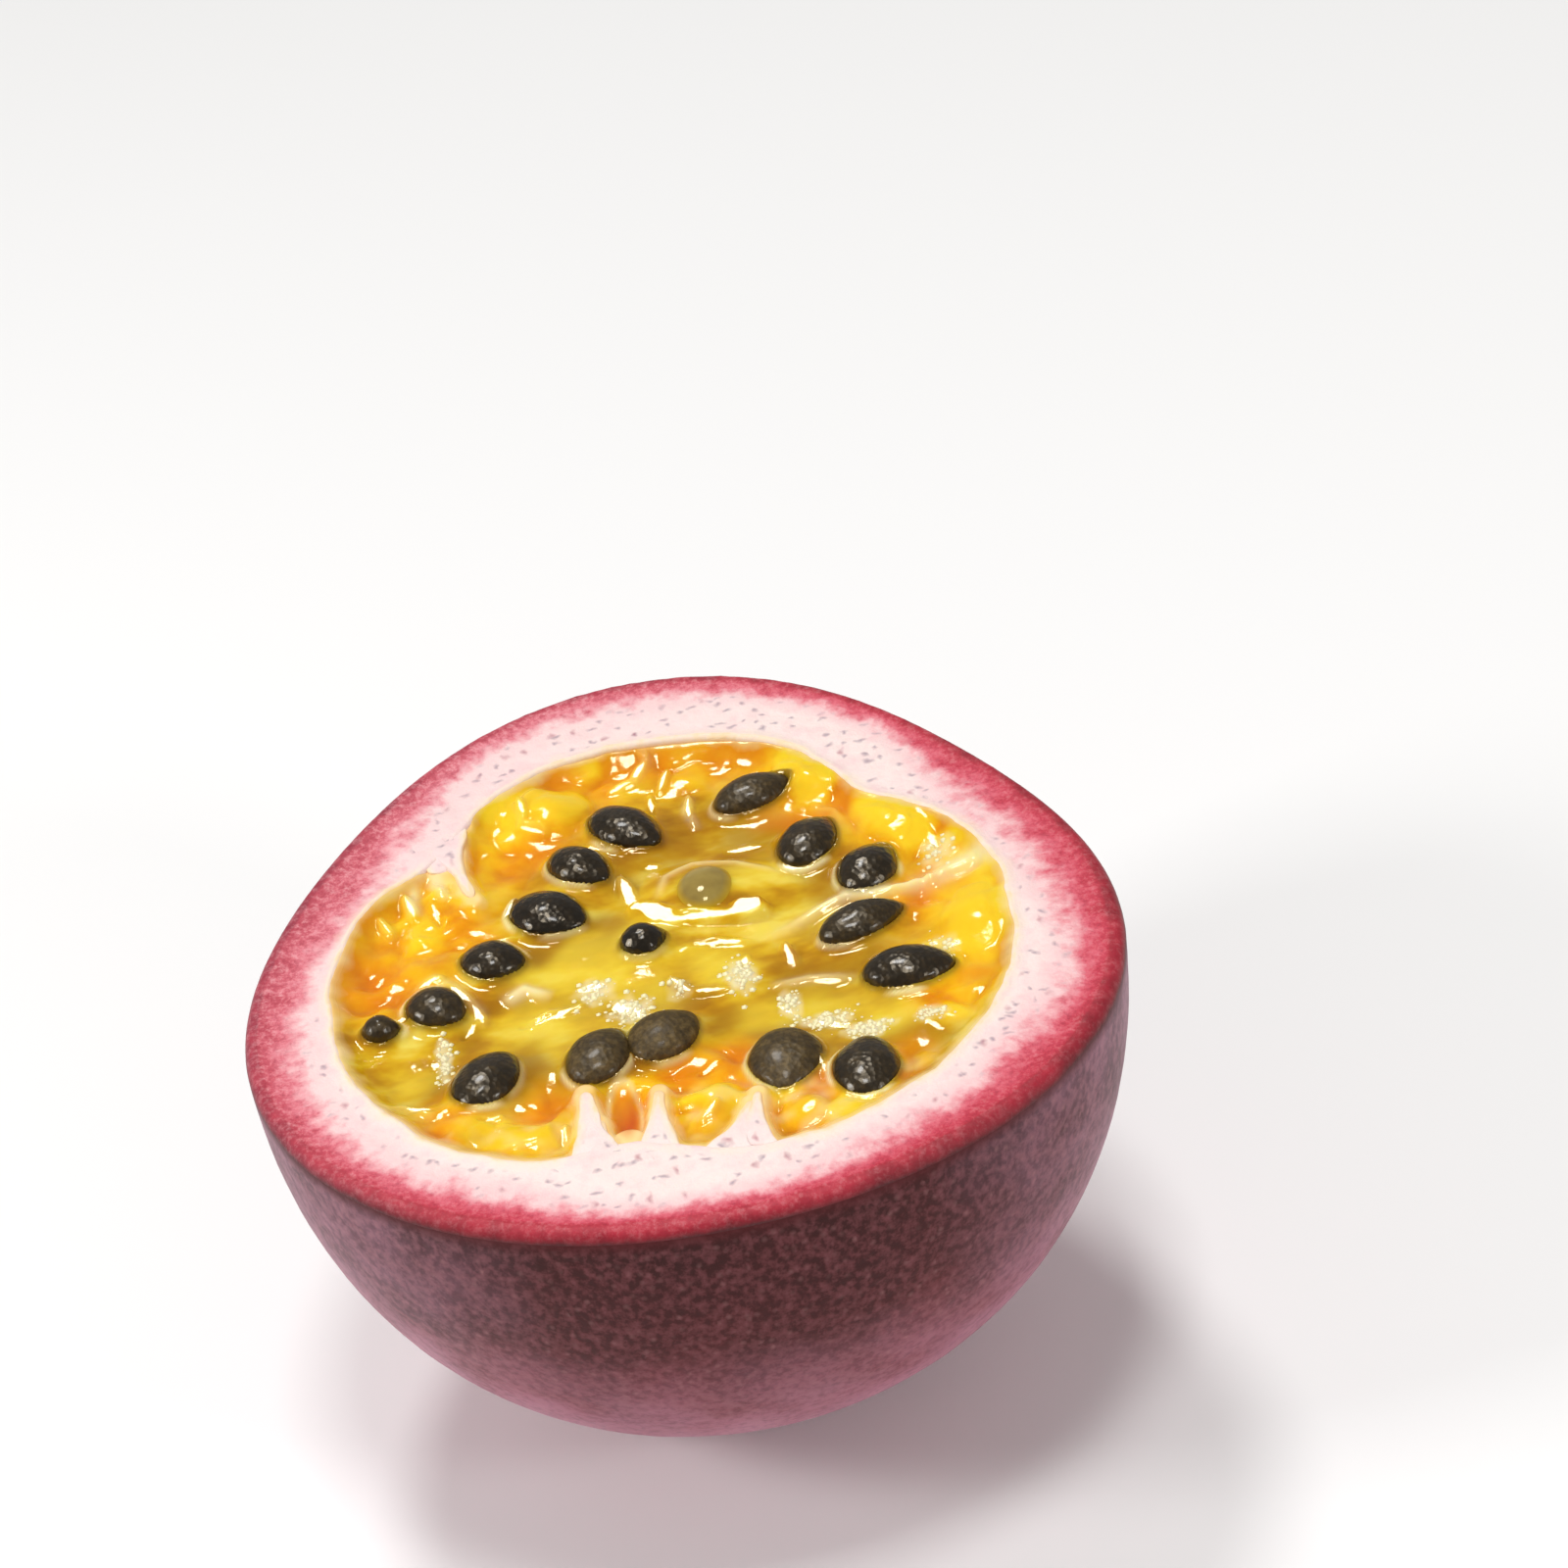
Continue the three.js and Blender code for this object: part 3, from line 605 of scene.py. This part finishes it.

# Brighter, lemon-yellow places in the jelly, and browner ones, which are partly the jelly's own colour and
# partly painted shadow beside the seeds.
LEMON = (
    (-6, -1, 2.4), (-9.5, -5, 2.6), (-10, 1, 1.6), (2, -1.5, 1.8), (-2.5, -3.5, 1.8), (-18.2, -8.2, 1.4),
    (-7.3, 1.4, 1.7), (8, -7.5, 2.4), (12.5, -10.5, 2.2), (-4.6, 2.6, 1.4), (5.4, 7.2, 1.6),
    (8.6, 1.6, 1.6), (3.6, -8, 1.6),
)
UMBER_AND_SHADOW = (
    (0.5, 12, 2.2), (-3.6, 8.6, 1.4), (4.4, 14.6, 1.6), (-9.4, 3, 1.2), (9.4, 4.6, 1.5),
    (-11.4, -7.6, 1.3), (1.4, -7.2, 1.4), (12.6, -4, 1.4), (-15, -5.6, 1.2), (6.6, -4.4, 1.4),
    (2, -11, 1.4), (9.3, -4.4, 2), (13.6, -13, 1.8), (-11.2, -11.4, 2), (5.6, 11.4, 1.8),
    (7.8, 12.4, 1.2), (-17.2, -10.6, 1.4), (-2.4, 11.6, 1.5), (-7.2, 13.6, 1.2), (5.4, -10.2, 1.5),
    (-4.8, -11.2, 1.3), (11, 2.4, 1.2), (-5, 4.2, 1), (-11, -9.6, 1.3), (-16, -9.4, 1),
)

# Where juice climbs a seed and catches the light, painted as a pale highlight and raised a little:
# the seed's number, then from which to which side of the seed, in degrees from the right, how far off it
# stands and how bright it is.
GLINTS = (
    (0, 165, 235, 0.25, 0.6), (1, 195, 250, 0.35, 0.8), (2, 140, 290, 0.15, 0.7), (3, 215, 300, 0.25, 1),
    (4, 145, 225, 0.2, 0.7), (4, -30, 10, 0.2, 0.8), (5, 120, 205, 0.25, 1), (5, 250, 325, 0.15, 0.6),
    (6, 185, 250, 0.15, 0.7), (7, 5, 105, 0.35, 1), (9, 15, 120, 0.15, 0.7), (9, 225, 290, 0.3, 1),
    (10, 70, 185, 0.3, 0.9), (11, -30, 60, 0.3, 0.8), (12, 245, 290, 0.2, 1), (12, -60, 40, 0.15, 0.4),
    (13, -70, 20, 0.15, 0.7), (13, 190, 240, 0.25, 0.8), (15, 95, 255, 0.2, 0.8), (16, 95, 215, 0.25, 1),
    (16, 250, 300, 0.2, 1), (14, 250, 310, 0.2, 0.6), (8, 200, 330, 0.2, 0.3),
)

# Each raft: where, how far it spreads to the side and to the back, and how many bubbles.
RAFTS = (
    (-6.2, -2, 0.9, 0.8, 26), (-4, -4.6, 0.9, 1.0, 60), (3.4, -3.4, 0.7, 1.1, 46),
    (6.2, -6.8, 0.5, 0.9, 24), (8.2, -9, 1.1, 0.6, 46), (10.7, -10.8, 1.1, 0.6, 44),
    (14.8, -10.8, 0.7, 0.6, 24), (-16.4, -6.7, 0.35, 1.4, 34), (-0.8, -3.6, 0.6, 0.6, 12),
    (17.8, 5.6, 0.8, 1.0, 20), (16.4, -4.4, 0.8, 0.8, 12),
)


def pulp_top(x, y):
    """The solid's own surface: it bulges at lumps and seeds and climbs the wall, but not over the cut."""
    dx, dy = x + LEAN - CAVITY_OFFSET.x, y - CAVITY_OFFSET.y
    wall = CAVITY_RADIUS * cavity_swell(atan2(dy, dx), HEIGHT)
    rise = CREEP * exp(-max(0, wall - hypot(dx, dy)) / CREEP_WIDTH)
    for sx, sy, *_ in (*SEEDS, PALE_SEED):
        away = (x - sx) ** 2 + (y - sy) ** 2
        if away < 120:
            rise += SAC_RISE * exp(-away / SAC_SPREAD ** 2)
    for lx, ly, high, spread in LUMPS:
        away = (x - lx) ** 2 + (y - ly) ** 2
        if away < 80:
            rise += high * exp(-away / spread ** 2)
    return HEIGHT - PULP_DEPTH * (1 - tanh(rise / PULP_DEPTH))


def near(spots, x, y):
    """How much a place belongs to a group of soft spots, from 0 to 1."""
    total = 0
    for sx, sy, spread in spots:
        away = ((x - sx) ** 2 + (y - sy) ** 2) / spread ** 2
        if away < 8:
            total += exp(-away)
    return 1 - exp(-1.6 * total)


def from_line(x, y, line):
    """Distance to a line of points, and how far along it the nearest place is, from 0 to 1."""
    best, where = 1e9, 0
    for i, ((ax, ay), (bx, by)) in enumerate(zip(line, line[1:])):
        ex, ey = bx - ax, by - ay
        t = clamp(((x - ax) * ex + (y - ay) * ey) / (ex * ex + ey * ey))
        away = hypot(x - ax - t * ex, y - ay - t * ey)
        if away < best:
            best, where = away, (i + t) / (len(line) - 1)
    return best, where


def narrowing(share):
    """How much of a seed's width is left, that share of the way from its middle to its point."""
    return 1 - 0.28 * max(0, share) ** 1.5


def seed_gap(x, y, seed):
    """Distance from a seed's outline as it lies, below 0 under it."""
    sx, sy, length, width, turn = seed[:5]
    c, s = cos(radians(turn)), sin(radians(turn))
    u, v = (x - sx) * c + (y - sy) * s, (y - sy) * c - (x - sx) * s
    away = hypot(u, v)
    if away > 5:
        return away
    q = hypot(2 * u / length, 2 * v / (width * max(narrowing(2 * u / length), 0.3)))
    return away * (1 - 1 / q) if q > 1e-6 else -width / 2


def contact(angle):
    """Height and radius of the line where the pulp ends on the wall: low at the back, else on the lip."""
    ring = Vector((cos(angle), sin(angle), 0))
    below = max(0.02, 0.06 + 0.05 * noise.noise(ring * 9) + 0.04 * noise.noise(ring * 26))
    below += 0.35 * exp(-((angle - radians(84)) / radians(26)) ** 2)
    part = clamp(1 - below / LIP)
    radius = CAVITY_RADIUS + LIP * (1 - (1 - part * part) ** 0.5) + INTO_WALL
    return HEIGHT - below + cut_wave(angle), radius


def in_oval(x, y, oval):
    """Square of the distance from the middle of an oval, measured in its own half length and width."""
    ox, oy, long, wide, turn = oval[:5]
    dx, dy = x - ox, y - oy
    if abs(dx) + abs(dy) > 9:
        return 99
    c, s = cos(radians(turn)), sin(radians(turn))
    return ((dx * c + dy * s) / long) ** 2 + ((dy * c - dx * s) / wide) ** 2


def pulp_surface(x, y, to_wall):
    """Height of the wet surface, how fleshy, full, deep, pale and so on it is; pale holds painted
    highlights too.
    """
    spot = Vector((x, y, 0))
    stray = noise.noise_vector(spot * 0.35)
    wx, wy = x + 1.1 * stray.x, y + 1.1 * stray.y
    flesh = clamp(near(FLESHY, wx, wy) * 1.25 - 0.1)
    full = near(FULL, wx, wy)
    deep = near(DEEP, wx, wy)
    pale = 0.4 * flesh * clamp((-13 - y) / 3) * clamp(0.3 + 1.6 * noise.noise(spot * 0.8))
    ember = 0
    bend = noise.noise_vector(spot * 0.5) * 1.1
    swollen = hypot(noise.noise((spot + bend) / 3.5), 0.06)
    folded = hypot(noise.noise((spot + bend) / 1.6 + Vector((7, 3, 0))), 0.07)
    relief = flesh * (0.95 * (swollen - 0.22) + 0.14 * (folded - 0.22) + 0.3 * full)
    slant = Vector((x * 0.9 + y * 0.4, y * 0.9 - x * 0.4, 0))
    ripple = noise.fractal(Vector((slant.x * 0.16, slant.y * 0.36, 5)), 1.0, 2.0, 2)
    relief += (1 - flesh) * 0.16 * ripple
    for oval in BLISTERS:
        away = in_oval(x, y, oval)
        if away < 2.2:
            inside = clamp(1.5 - away)
            relief = mix(relief, relief * 0.15, inside) + oval[5] * clamp(1 - away / 1.6) ** 0.8
            deep, full = mix(deep, oval[6], inside), mix(full, 0.5 * full, oval[6] * inside)
            if oval[6] == 1:
                ember = clamp(1.3 - away) * clamp(0.55 + 0.5 * (x - oval[0]) - 0.35 * (y - oval[1]))
                pale = max(pale * (1 - inside), 0.6 * exp(-((away ** 0.5 - 1.25) / 0.2) ** 2))
    lemon, umber = near(LEMON, wx, wy), near(UMBER_AND_SHADOW, wx, wy)
    for high, half, paleness, *line in FOLDS:
        px, py = line[len(line) // 2]
        if abs(x - px) > 10 or abs(y - py) > 6:
            continue
        away, along = from_line(x, y, line)
        if away < 3 * half:
            taper = 1 - abs(2 * along - 1) ** 3
            lift = exp(-(away / half) ** 2) * taper
            relief += high * lift
            pale = max(pale, paleness * lift)
    nearest, closest = 9, 0
    for number, seed in enumerate(SEEDS):
        if abs(x - seed[0]) < 6 and abs(y - seed[1]) < 6:
            gap = seed_gap(x, y, seed)
            if gap < nearest:
                nearest, closest = gap, number
    relief *= clamp(0.25 + nearest / 1.2)
    shade = exp(-(max(0, nearest) / 0.22) ** 2)
    if nearest < 3:
        relief += 0.6 * exp(-abs(nearest) / 0.35) - 0.12 * exp(-(nearest / 0.9) ** 2)
        side = degrees(atan2(y - SEEDS[closest][1], x - SEEDS[closest][0]))
        for number, start, end, off, bright in GLINTS:
            if number == closest:
                away = abs((side - (start + end) / 2 + 180) % 360 - 180)
                arc = clamp(((end - start) / 2 - away) / 18 + 0.3) * exp(-((nearest - off) / 0.16) ** 2)
                # A painted highlight: the crescent is raised a little and coloured pale.
                relief += 0.12 * arc
                pale = max(pale, bright * arc)
                shade *= 1 - bright * arc
    for rx, ry, wide, deep_in, count in RAFTS:
        away = in_oval(x, y, (rx, ry, 1.6 * wide, 1.6 * deep_in, 0)) + 0.8 * noise.noise(spot * 1.3)
        pale = max(pale, min(count / 30, 0.95) * clamp(1.2 - away))
    z = pulp_top(x, y) + relief * clamp(to_wall / 1.5)
    return min(z, HEIGHT + 0.25), flesh, full, deep, pale, shade, relief, lemon, umber, ember


noise.seed_set(4)       # else noise_vector goes by the clock, and each run gives other folds
levels = [pulp_surface(oval[0], oval[1], 9)[0] for oval in FACETS]
middle = pulp_surface(*GLARE[1][:2], 9)[0] - FACET_SLOPE[0] * GLARE[1][0] - FACET_SLOPE[1] * GLARE[1][1]
levels += [middle + FACET_SLOPE[0] * oval[0] + FACET_SLOPE[1] * oval[1] for oval in GLARE]


def with_facets(x, y, z):
    """The height once the smooth facets are blended in."""
    for oval, level in zip(FACETS + GLARE, levels):
        away = in_oval(x, y, oval) + 0.45 * noise.noise(Vector((x, y, 0)) * 1.4)
        if away < 2.4:
            plane = level + FACET_SLOPE[0] * (x - oval[0]) + FACET_SLOPE[1] * (y - oval[1])
            z = mix(z, plane, clamp(1.9 - 1.1 * away))
    return z


bm = bmesh.new()
bmesh.ops.create_grid(bm, x_segments=PULP_GRID, y_segments=PULP_GRID, size=1)
names = ("fleshy", "full", "deep", "pale", "shade", "raised", "lemon", "umber", "ember", "wallward")
layers_of = [bm.verts.layers.float.new(name) for name in names]
rim_edges = [edge for edge in bm.edges if edge.is_boundary]
for vert in bm.verts:
    u, v = vert.co.x, vert.co.y
    u, v = u * (1 - v * v / 2) ** 0.5, v * (1 - u * u / 2) ** 0.5
    share, angle = min(hypot(u, v), 1), atan2(v, u)
    edge_height, edge_radius = contact(angle)
    swell = cavity_swell(angle, HEIGHT)
    radius = share * edge_radius * swell
    x = radius * cos(angle) - LEAN + CAVITY_OFFSET.x
    y = radius * sin(angle) + CAVITY_OFFSET.y
    to_wall = (1 - share) * edge_radius * swell
    z, *facts = pulp_surface(x, y, to_wall)
    z = with_facets(x, y, z)
    z = mix(z, edge_height, exp(-(to_wall / 0.8) ** 1.5))
    beside_stalk = max(0, stalk_gap(x, y))
    z = mix(z, HEIGHT - 0.32, 0.95 * exp(-(beside_stalk / 0.5) ** 2))
    to_wall += 0.3 + 0.3 * cos(angle - radians(60))
    to_wall = min(to_wall, 1.4 * beside_stalk + 0.2 + 0.4 * noise.noise(Vector((x, y, 2))))
    vert.co = (x, y, z)
    for layer, fact in zip(layers_of, (*facts, to_wall)):
        vert[layer] = fact
for step in range(1, SKIRT_STEPS + 1):
    ring = bmesh.ops.extrude_edge_only(bm, edges=rim_edges)["geom"]
    rim_edges = [part for part in ring if isinstance(part, bmesh.types.BMEdge)]
    radius, height = wall_ring(1 - step / (SKIRT_STEPS + 1), 0.3)
    for vert in [part for part in ring if isinstance(part, bmesh.types.BMVert)]:
        angle = atan2(vert.co.y - CAVITY_OFFSET.y, vert.co.x + LEAN - CAVITY_OFFSET.x)
        vert.co = place_of(radius, angle, height, 0)
bmesh.ops.contextual_create(bm, geom=rim_edges)
bmesh.ops.recalc_face_normals(bm, faces=bm.faces)

# Jelly and flesh: wet, lit from inside. Light that enters comes out yellow near by and orange where the
# flesh is thick, and the film of juice on top gives sharp highlights.
pulp_stuff, add = new_material("wet_pulp_jelly_and_flesh")
place = add("TexCoord").outputs["Object"]
fact = {name: add("Attribute", attribute_name=name).outputs["Fac"] for name in names}
to_wall = fact["wallward"]
streaks = add("Mapping", {"Vector": place, "Rotation": (0, 0, radians(-25)), "Scale": (0.6, 1, 1)})
cloud = add("TexNoise", {"Vector": streaks, "Scale": per(2.6), "Detail": 3, "Roughness": 0.5})
jelly = add(
    "ValToRGB", {"Fac": cloud},
    stops=[(0.32, "#A87004"), (0.43, "#C6900A"), (0.54, "#DEB41E"), (0.67, "#EDD458")],
)
threads = add("TexNoise", {"Vector": place, "Scale": per(2.4), "Detail": 3, "Roughness": 0.5})
# Painted shade: the flesh is coloured lighter and yellower where it is raised, and deeper orange in hollows
# and creases.
raised = add("Math", {0: fact["raised"], 1: 0.9, 2: 0.05}, operation="MULTIPLY_ADD")
full_and_shaded = add("Math", {0: fact["full"], 1: 0.4, 2: raised}, operation="MULTIPLY_ADD")
tone_and_shade = add("Math", {0: threads, 1: full_and_shaded})
flesh_colour = add(
    "ValToRGB", {"Fac": tone_and_shade},
    stops=[(0.25, "#DB7C06"), (0.5, "#EC9C08"), (0.72, "#F6B80E"), (1.0, "#FCD024")],
)
body = jelly        # and each of the next is painted over what is there
# Painted light among these: the browner places are partly painted shadow beside the seeds, and pale holds
# painted highlights where juice climbs the seeds.
for name, most, tint in (
    ("lemon", 0.75, "#F0D440"), ("umber", 0.9, "#A06A06"), ("fleshy", 1, flesh_colour),
    ("deep", 0.8, "#DF7A08"), ("ember", 0.9, "#D2581A"), ("pale", 0.85, "#FBE9B4"),
    ("shade", 0.75, "#5C3C06"),
):
    amount = add("Math", {0: fact[name], 1: most}, operation="MULTIPLY")
    body = add("Mix", {0: amount, 6: body, 7: tint})
ragged = add("Math", {0: threads, 1: 2.0, 2: to_wall}, operation="MULTIPLY_ADD")
by_wall = add("MapRange", {"Value": ragged, "From Min": 2.1, "From Max": 0.9, "To Max": 0.95})
edged = add("Mix", {0: by_wall, 6: body, 7: "#F9D898"})
film = add("MapRange", {"Value": to_wall, "From Min": 0.2, "From Max": 0.9, "To Min": 0.5, "To Max": 0.08})
blurred = add("Math", {0: fact["fleshy"], 1: 0.05, 2: film}, operation="MULTIPLY_ADD")
lit = add("MapRange", {"Value": to_wall, "From Min": 0.3, "From Max": 1.2, "To Max": 0.6})
wet = add("TexNoise", {"Vector": place, "Scale": per(1.1), "Detail": 2})
relief = add("Bump", {"Height": wet, "Strength": 0.25, "Distance": 0.12 * MM})
gloss = add(
    "BsdfPrincipled",
    {
        "Base Color": edged, "Roughness": blurred, "IOR": 1.38, "Normal": relief,
        "Specular IOR Level": 0.85, "Specular Tint": "#FFEEC6", "Subsurface Weight": lit,
        "Subsurface Radius": (1.0, 0.7, 0.2), "Subsurface Scale": 1.5 * MM,
    },
)
add("OutputMaterial", {"Surface": gloss})

pulp = finished("pulp_dressed", bm, pulp_stuff)
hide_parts("pulp")


# ------------------------------------------------------------------------------
# Seeds: hard black-brown shells, flattened eggs drawn to a blunt point, with fine pits all over. Each is
# sunk halfway in the pulp. A film of juice makes most of them glossy; those at the front have dried.

PIT_SPACING = 0.55

bm = bmesh.new()
dryness = bm.verts.layers.float.new("dry")
for number, (x, y, length, width, turn, dry) in enumerate(SEEDS):
    made = bmesh.ops.create_icosphere(bm, subdivisions=4, radius=1)["verts"]
    lift = pulp_top(x, y) + SEED_LIFT
    c, s = cos(radians(turn)), sin(radians(turn))
    for vert in made:
        u, v, w = vert.co
        narrow = narrowing(u)
        shape = Vector((u * length / 2, v * narrow * width / 2, w * narrow * SEED_THICKNESS / 2))
        spot = shape + Vector((number * 9, 0, 0))
        pits, _ = noise.voronoi(spot / PIT_SPACING)
        dent = 0.05 * clamp(1 - pits[0] * 2.2) + 0.08 * noise.noise(spot * 0.6)
        shape *= 1 - dent / shape.length - 0.01
        vert.co = (x + shape.x * c - shape.y * s, y + shape.x * s + shape.y * c, lift + shape.z)
        vert[dryness] = dry

seed_shell, add = new_material("wet_black_seed_shell")
place = add("TexCoord").outputs["Object"]
dry = add("Attribute", attribute_name="dry").outputs["Fac"]
patch = add("TexNoise", {"Vector": place, "Scale": per(0.7), "Detail": 5, "Roughness": 0.75})
wet_tones = [(0.35, "#080401"), (0.55, "#140B03"), (0.75, "#36260E")]
dry_tones = [(0.3, "#20160A"), (0.5, "#443417"), (0.7, "#6C5730")]
wet_colour = add("ValToRGB", {"Fac": patch}, stops=wet_tones)
dry_colour = add("ValToRGB", {"Fac": patch}, stops=dry_tones)
shell_colour = add("Mix", {0: dry, 6: wet_colour, 7: dry_colour})
dull = add("MapRange", {"Value": dry, "To Min": 0.26, "To Max": 0.55})
film = add("MapRange", {"Value": dry, "From Min": 1.15, "From Max": 0.2, "To Max": 0.5})
pits = add("TexVoronoi", {"Vector": place, "Scale": per(0.4)})
relief = add("Bump", {"Height": pits, "Strength": 0.85, "Distance": 0.07 * MM})
shell = add(
    "BsdfPrincipled",
    {
        "Base Color": shell_colour, "Roughness": dull, "IOR": 1.5, "Normal": relief,
        "Specular IOR Level": 0.5, "Specular Tint": "#FFEED2",
        "Coat Weight": film, "Coat Roughness": 0.12, "Coat IOR": 1.4,
    },
)
add("OutputMaterial", {"Surface": shell})

seeds = finished("seeds", bm, seed_shell)
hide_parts("pulp")


# ------------------------------------------------------------------------------
# Pale seed: one that never ripened, still grey-green and soft, under the skin of its own clear sac.

bm = bmesh.new()
x, y, length, width, turn = PALE_SEED
bmesh.ops.create_icosphere(bm, subdivisions=5, radius=1)
bmesh.ops.scale(bm, verts=bm.verts, vec=(length / 2, width / 2, SEED_THICKNESS / 2))
bmesh.ops.rotate(bm, verts=bm.verts, matrix=Matrix.Rotation(radians(turn), 3, "Z"))
bmesh.ops.translate(bm, verts=bm.verts, vec=(x, y, pulp_surface(x, y, 9)[0] - SEED_THICKNESS / 2 + 0.5))
clearance = bm.verts.layers.float.new("clearance")
for vert in bm.verts:
    vert[clearance] = vert.co.z - pulp_surface(vert.co.x, vert.co.y, 9)[0]
unripe, add = new_material("soft_grey_green_seed")
place = add("TexCoord").outputs["Object"]
milk = add("TexNoise", {"Vector": place, "Scale": per(2.5), "Detail": 3})
ground = add("ValToRGB", {"Fac": milk}, stops=[(0.35, "#87703A"), (0.55, "#9A8444"), (0.75, "#AE9A5C")])
above = add("Attribute", attribute_name="clearance").outputs["Fac"]
blurred = add("MapRange", {"Value": above, "From Min": 0.3, "From Max": 0.0})
sunk_in = add("Mix", {0: blurred, 6: ground, 7: "#C29C1C"})
soft = add(
    "BsdfPrincipled",
    {
        "Base Color": sunk_in, "Roughness": 0.08, "IOR": 1.38,
        "Specular IOR Level": 0.6, "Specular Tint": "#FFEEC0", "Subsurface Weight": 0.1,
        "Subsurface Radius": (1, 0.8, 0.3), "Subsurface Scale": 1.0 * MM,
    },
)
add("OutputMaterial", {"Surface": soft})
pale_seed = finished("pale_seed", bm, unripe)
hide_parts("pulp")


# ------------------------------------------------------------------------------
# Foam: bubbles that the knife beat into the juice. They float on the pool in small rafts, clear domes of
# 0.1 to 0.6 mm that each hold a spark of light. There are hundreds, so each has few faces.

BUBBLE = (0.07, 0.32)       # smallest and largest radius

bm = bmesh.new()
chance = Random(7)
for rx, ry, wide, deep, count in RAFTS:
    for _ in range(2 * count):
        x, y = chance.gauss(rx, 0.8 * wide), chance.gauss(ry, 0.8 * deep)
        radius = mix(*BUBBLE, chance.random() ** 2)
        if min(seed_gap(x, y, seed) for seed in SEEDS) < radius:
            continue
        z = with_facets(x, y, pulp_surface(x, y, 3)[0])
        made = bmesh.ops.create_icosphere(bm, subdivisions=1, radius=radius)["verts"]
        bmesh.ops.translate(bm, verts=made, vec=(x, y, z - 0.5 * radius))

juice, add = new_material("clear_juice_bubbles")
clear = add(
    "BsdfPrincipled",
    {
        "Base Color": "#F6EAB8", "Roughness": 0.3, "IOR": 1.5, "Specular IOR Level": 1.0,
        "Specular Tint": "#FFF8E0", "Subsurface Weight": 0.2, "Subsurface Radius": (1, 0.9, 0.5),
        "Subsurface Scale": 0.3 * MM,
    },
)
add("OutputMaterial", {"Surface": clear})
foam = finished("foam", bm, juice)
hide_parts("pulp")


# ------------------------------------------------------------------------------
# Stage: a plain pale floor under soft studio light. Not part of the fruit.

bm = bmesh.new()
bmesh.ops.create_grid(bm, x_segments=1, y_segments=1, size=2000)
bmesh.ops.scale(bm, verts=bm.verts, vec=(MM, MM, MM))
floor_mesh = bpy.data.meshes.new("floor")
bm.to_mesh(floor_mesh)
bm.free()
paper, add = new_material("matte_white_paper")
matte = add("BsdfPrincipled", {"Base Color": "#F6F5F4", "Roughness": 0.8})
add("OutputMaterial", {"Surface": matte})
floor_mesh.materials.append(paper)
floor_piece = bpy.data.objects.new("floor", floor_mesh)
bpy.context.scene.collection.objects.link(floor_piece)

world = bpy.data.worlds.new("dim_room")
world.use_nodes = True
world.node_tree.nodes["Background"].inputs["Color"].default_value = linear("#F6F6F5")
world.node_tree.nodes["Background"].inputs["Strength"].default_value = 0.3
bpy.context.scene.world = world
bpy.context.scene.view_settings.view_transform = "Standard"

RIM_CENTRE = Vector((-LEAN, 0, HEIGHT)) * MM


def lamp_towards(name, kind, azimuth, elevation, distance, energy):
    """A lamp that far from the rim's centre, on that side of it, turned to it. Azimuth 0 is the front."""
    light = bpy.data.lights.new(name, kind)
    light.energy = energy
    lamp = bpy.data.objects.new(name, light)
    turn, rise = radians(azimuth), radians(elevation)
    side = Vector((sin(turn) * cos(rise), -cos(turn) * cos(rise), sin(rise)))
    lamp.location = RIM_CENTRE + side * distance * MM
    lamp.rotation_euler = side.to_track_quat("Z", "Y").to_euler()
    bpy.context.scene.collection.objects.link(lamp)
    return light


key = lamp_towards("key_from_behind", "SUN", 195, 62, 500, 1.05)
key.angle = radians(12)
for name, azimuth, elevation, distance, size, energy in (
    ("soft_box_left", -80, 30, 420, 100, 0.7), ("soft_box_right", 50, 25, 420, 80, 0.35),
    ("soft_box_above", 0, 84, 700, 130, 1.6),
):
    lamp_towards(name, "AREA", azimuth, elevation, distance, energy).size = size * MM

VIEW_ELEVATION = 38
VIEW_ROLL = 10              # the half leans up to the right in the frame
VIEW_DISTANCE = 285
LENS = 100
SENSOR = 36
FRAME_PIXELS = 1600
RIM_PIXEL = (688.8, 958.1)  # where the rim's centre falls in the frame

camera = bpy.data.cameras.new("camera")
camera.lens = LENS
camera.sensor_width = SENSOR
camera.clip_start = 0.01
camera_piece = bpy.data.objects.new("camera", camera)
bpy.context.scene.collection.objects.link(camera_piece)
tilt = radians(VIEW_ELEVATION)
backward = Vector((0, -cos(tilt), sin(tilt)))
rightward = Vector((1, 0, 0))
upward = backward.cross(rightward)
level_view = Matrix((rightward, upward, backward)).transposed()
to_rim = Vector((
    (RIM_PIXEL[0] - FRAME_PIXELS / 2) / FRAME_PIXELS * SENSOR / LENS,
    (FRAME_PIXELS / 2 - RIM_PIXEL[1]) / FRAME_PIXELS * SENSOR / LENS,
    -1,
))
pan = to_rim.rotation_difference(Vector((0, 0, -1))).to_matrix()
turned = level_view @ Matrix.Rotation(-radians(VIEW_ROLL), 3, "Z") @ pan
camera_piece.matrix_world = Matrix.Translation(RIM_CENTRE + backward * VIEW_DISTANCE * MM) @ turned.to_4x4()
bpy.context.scene.camera = camera_piece
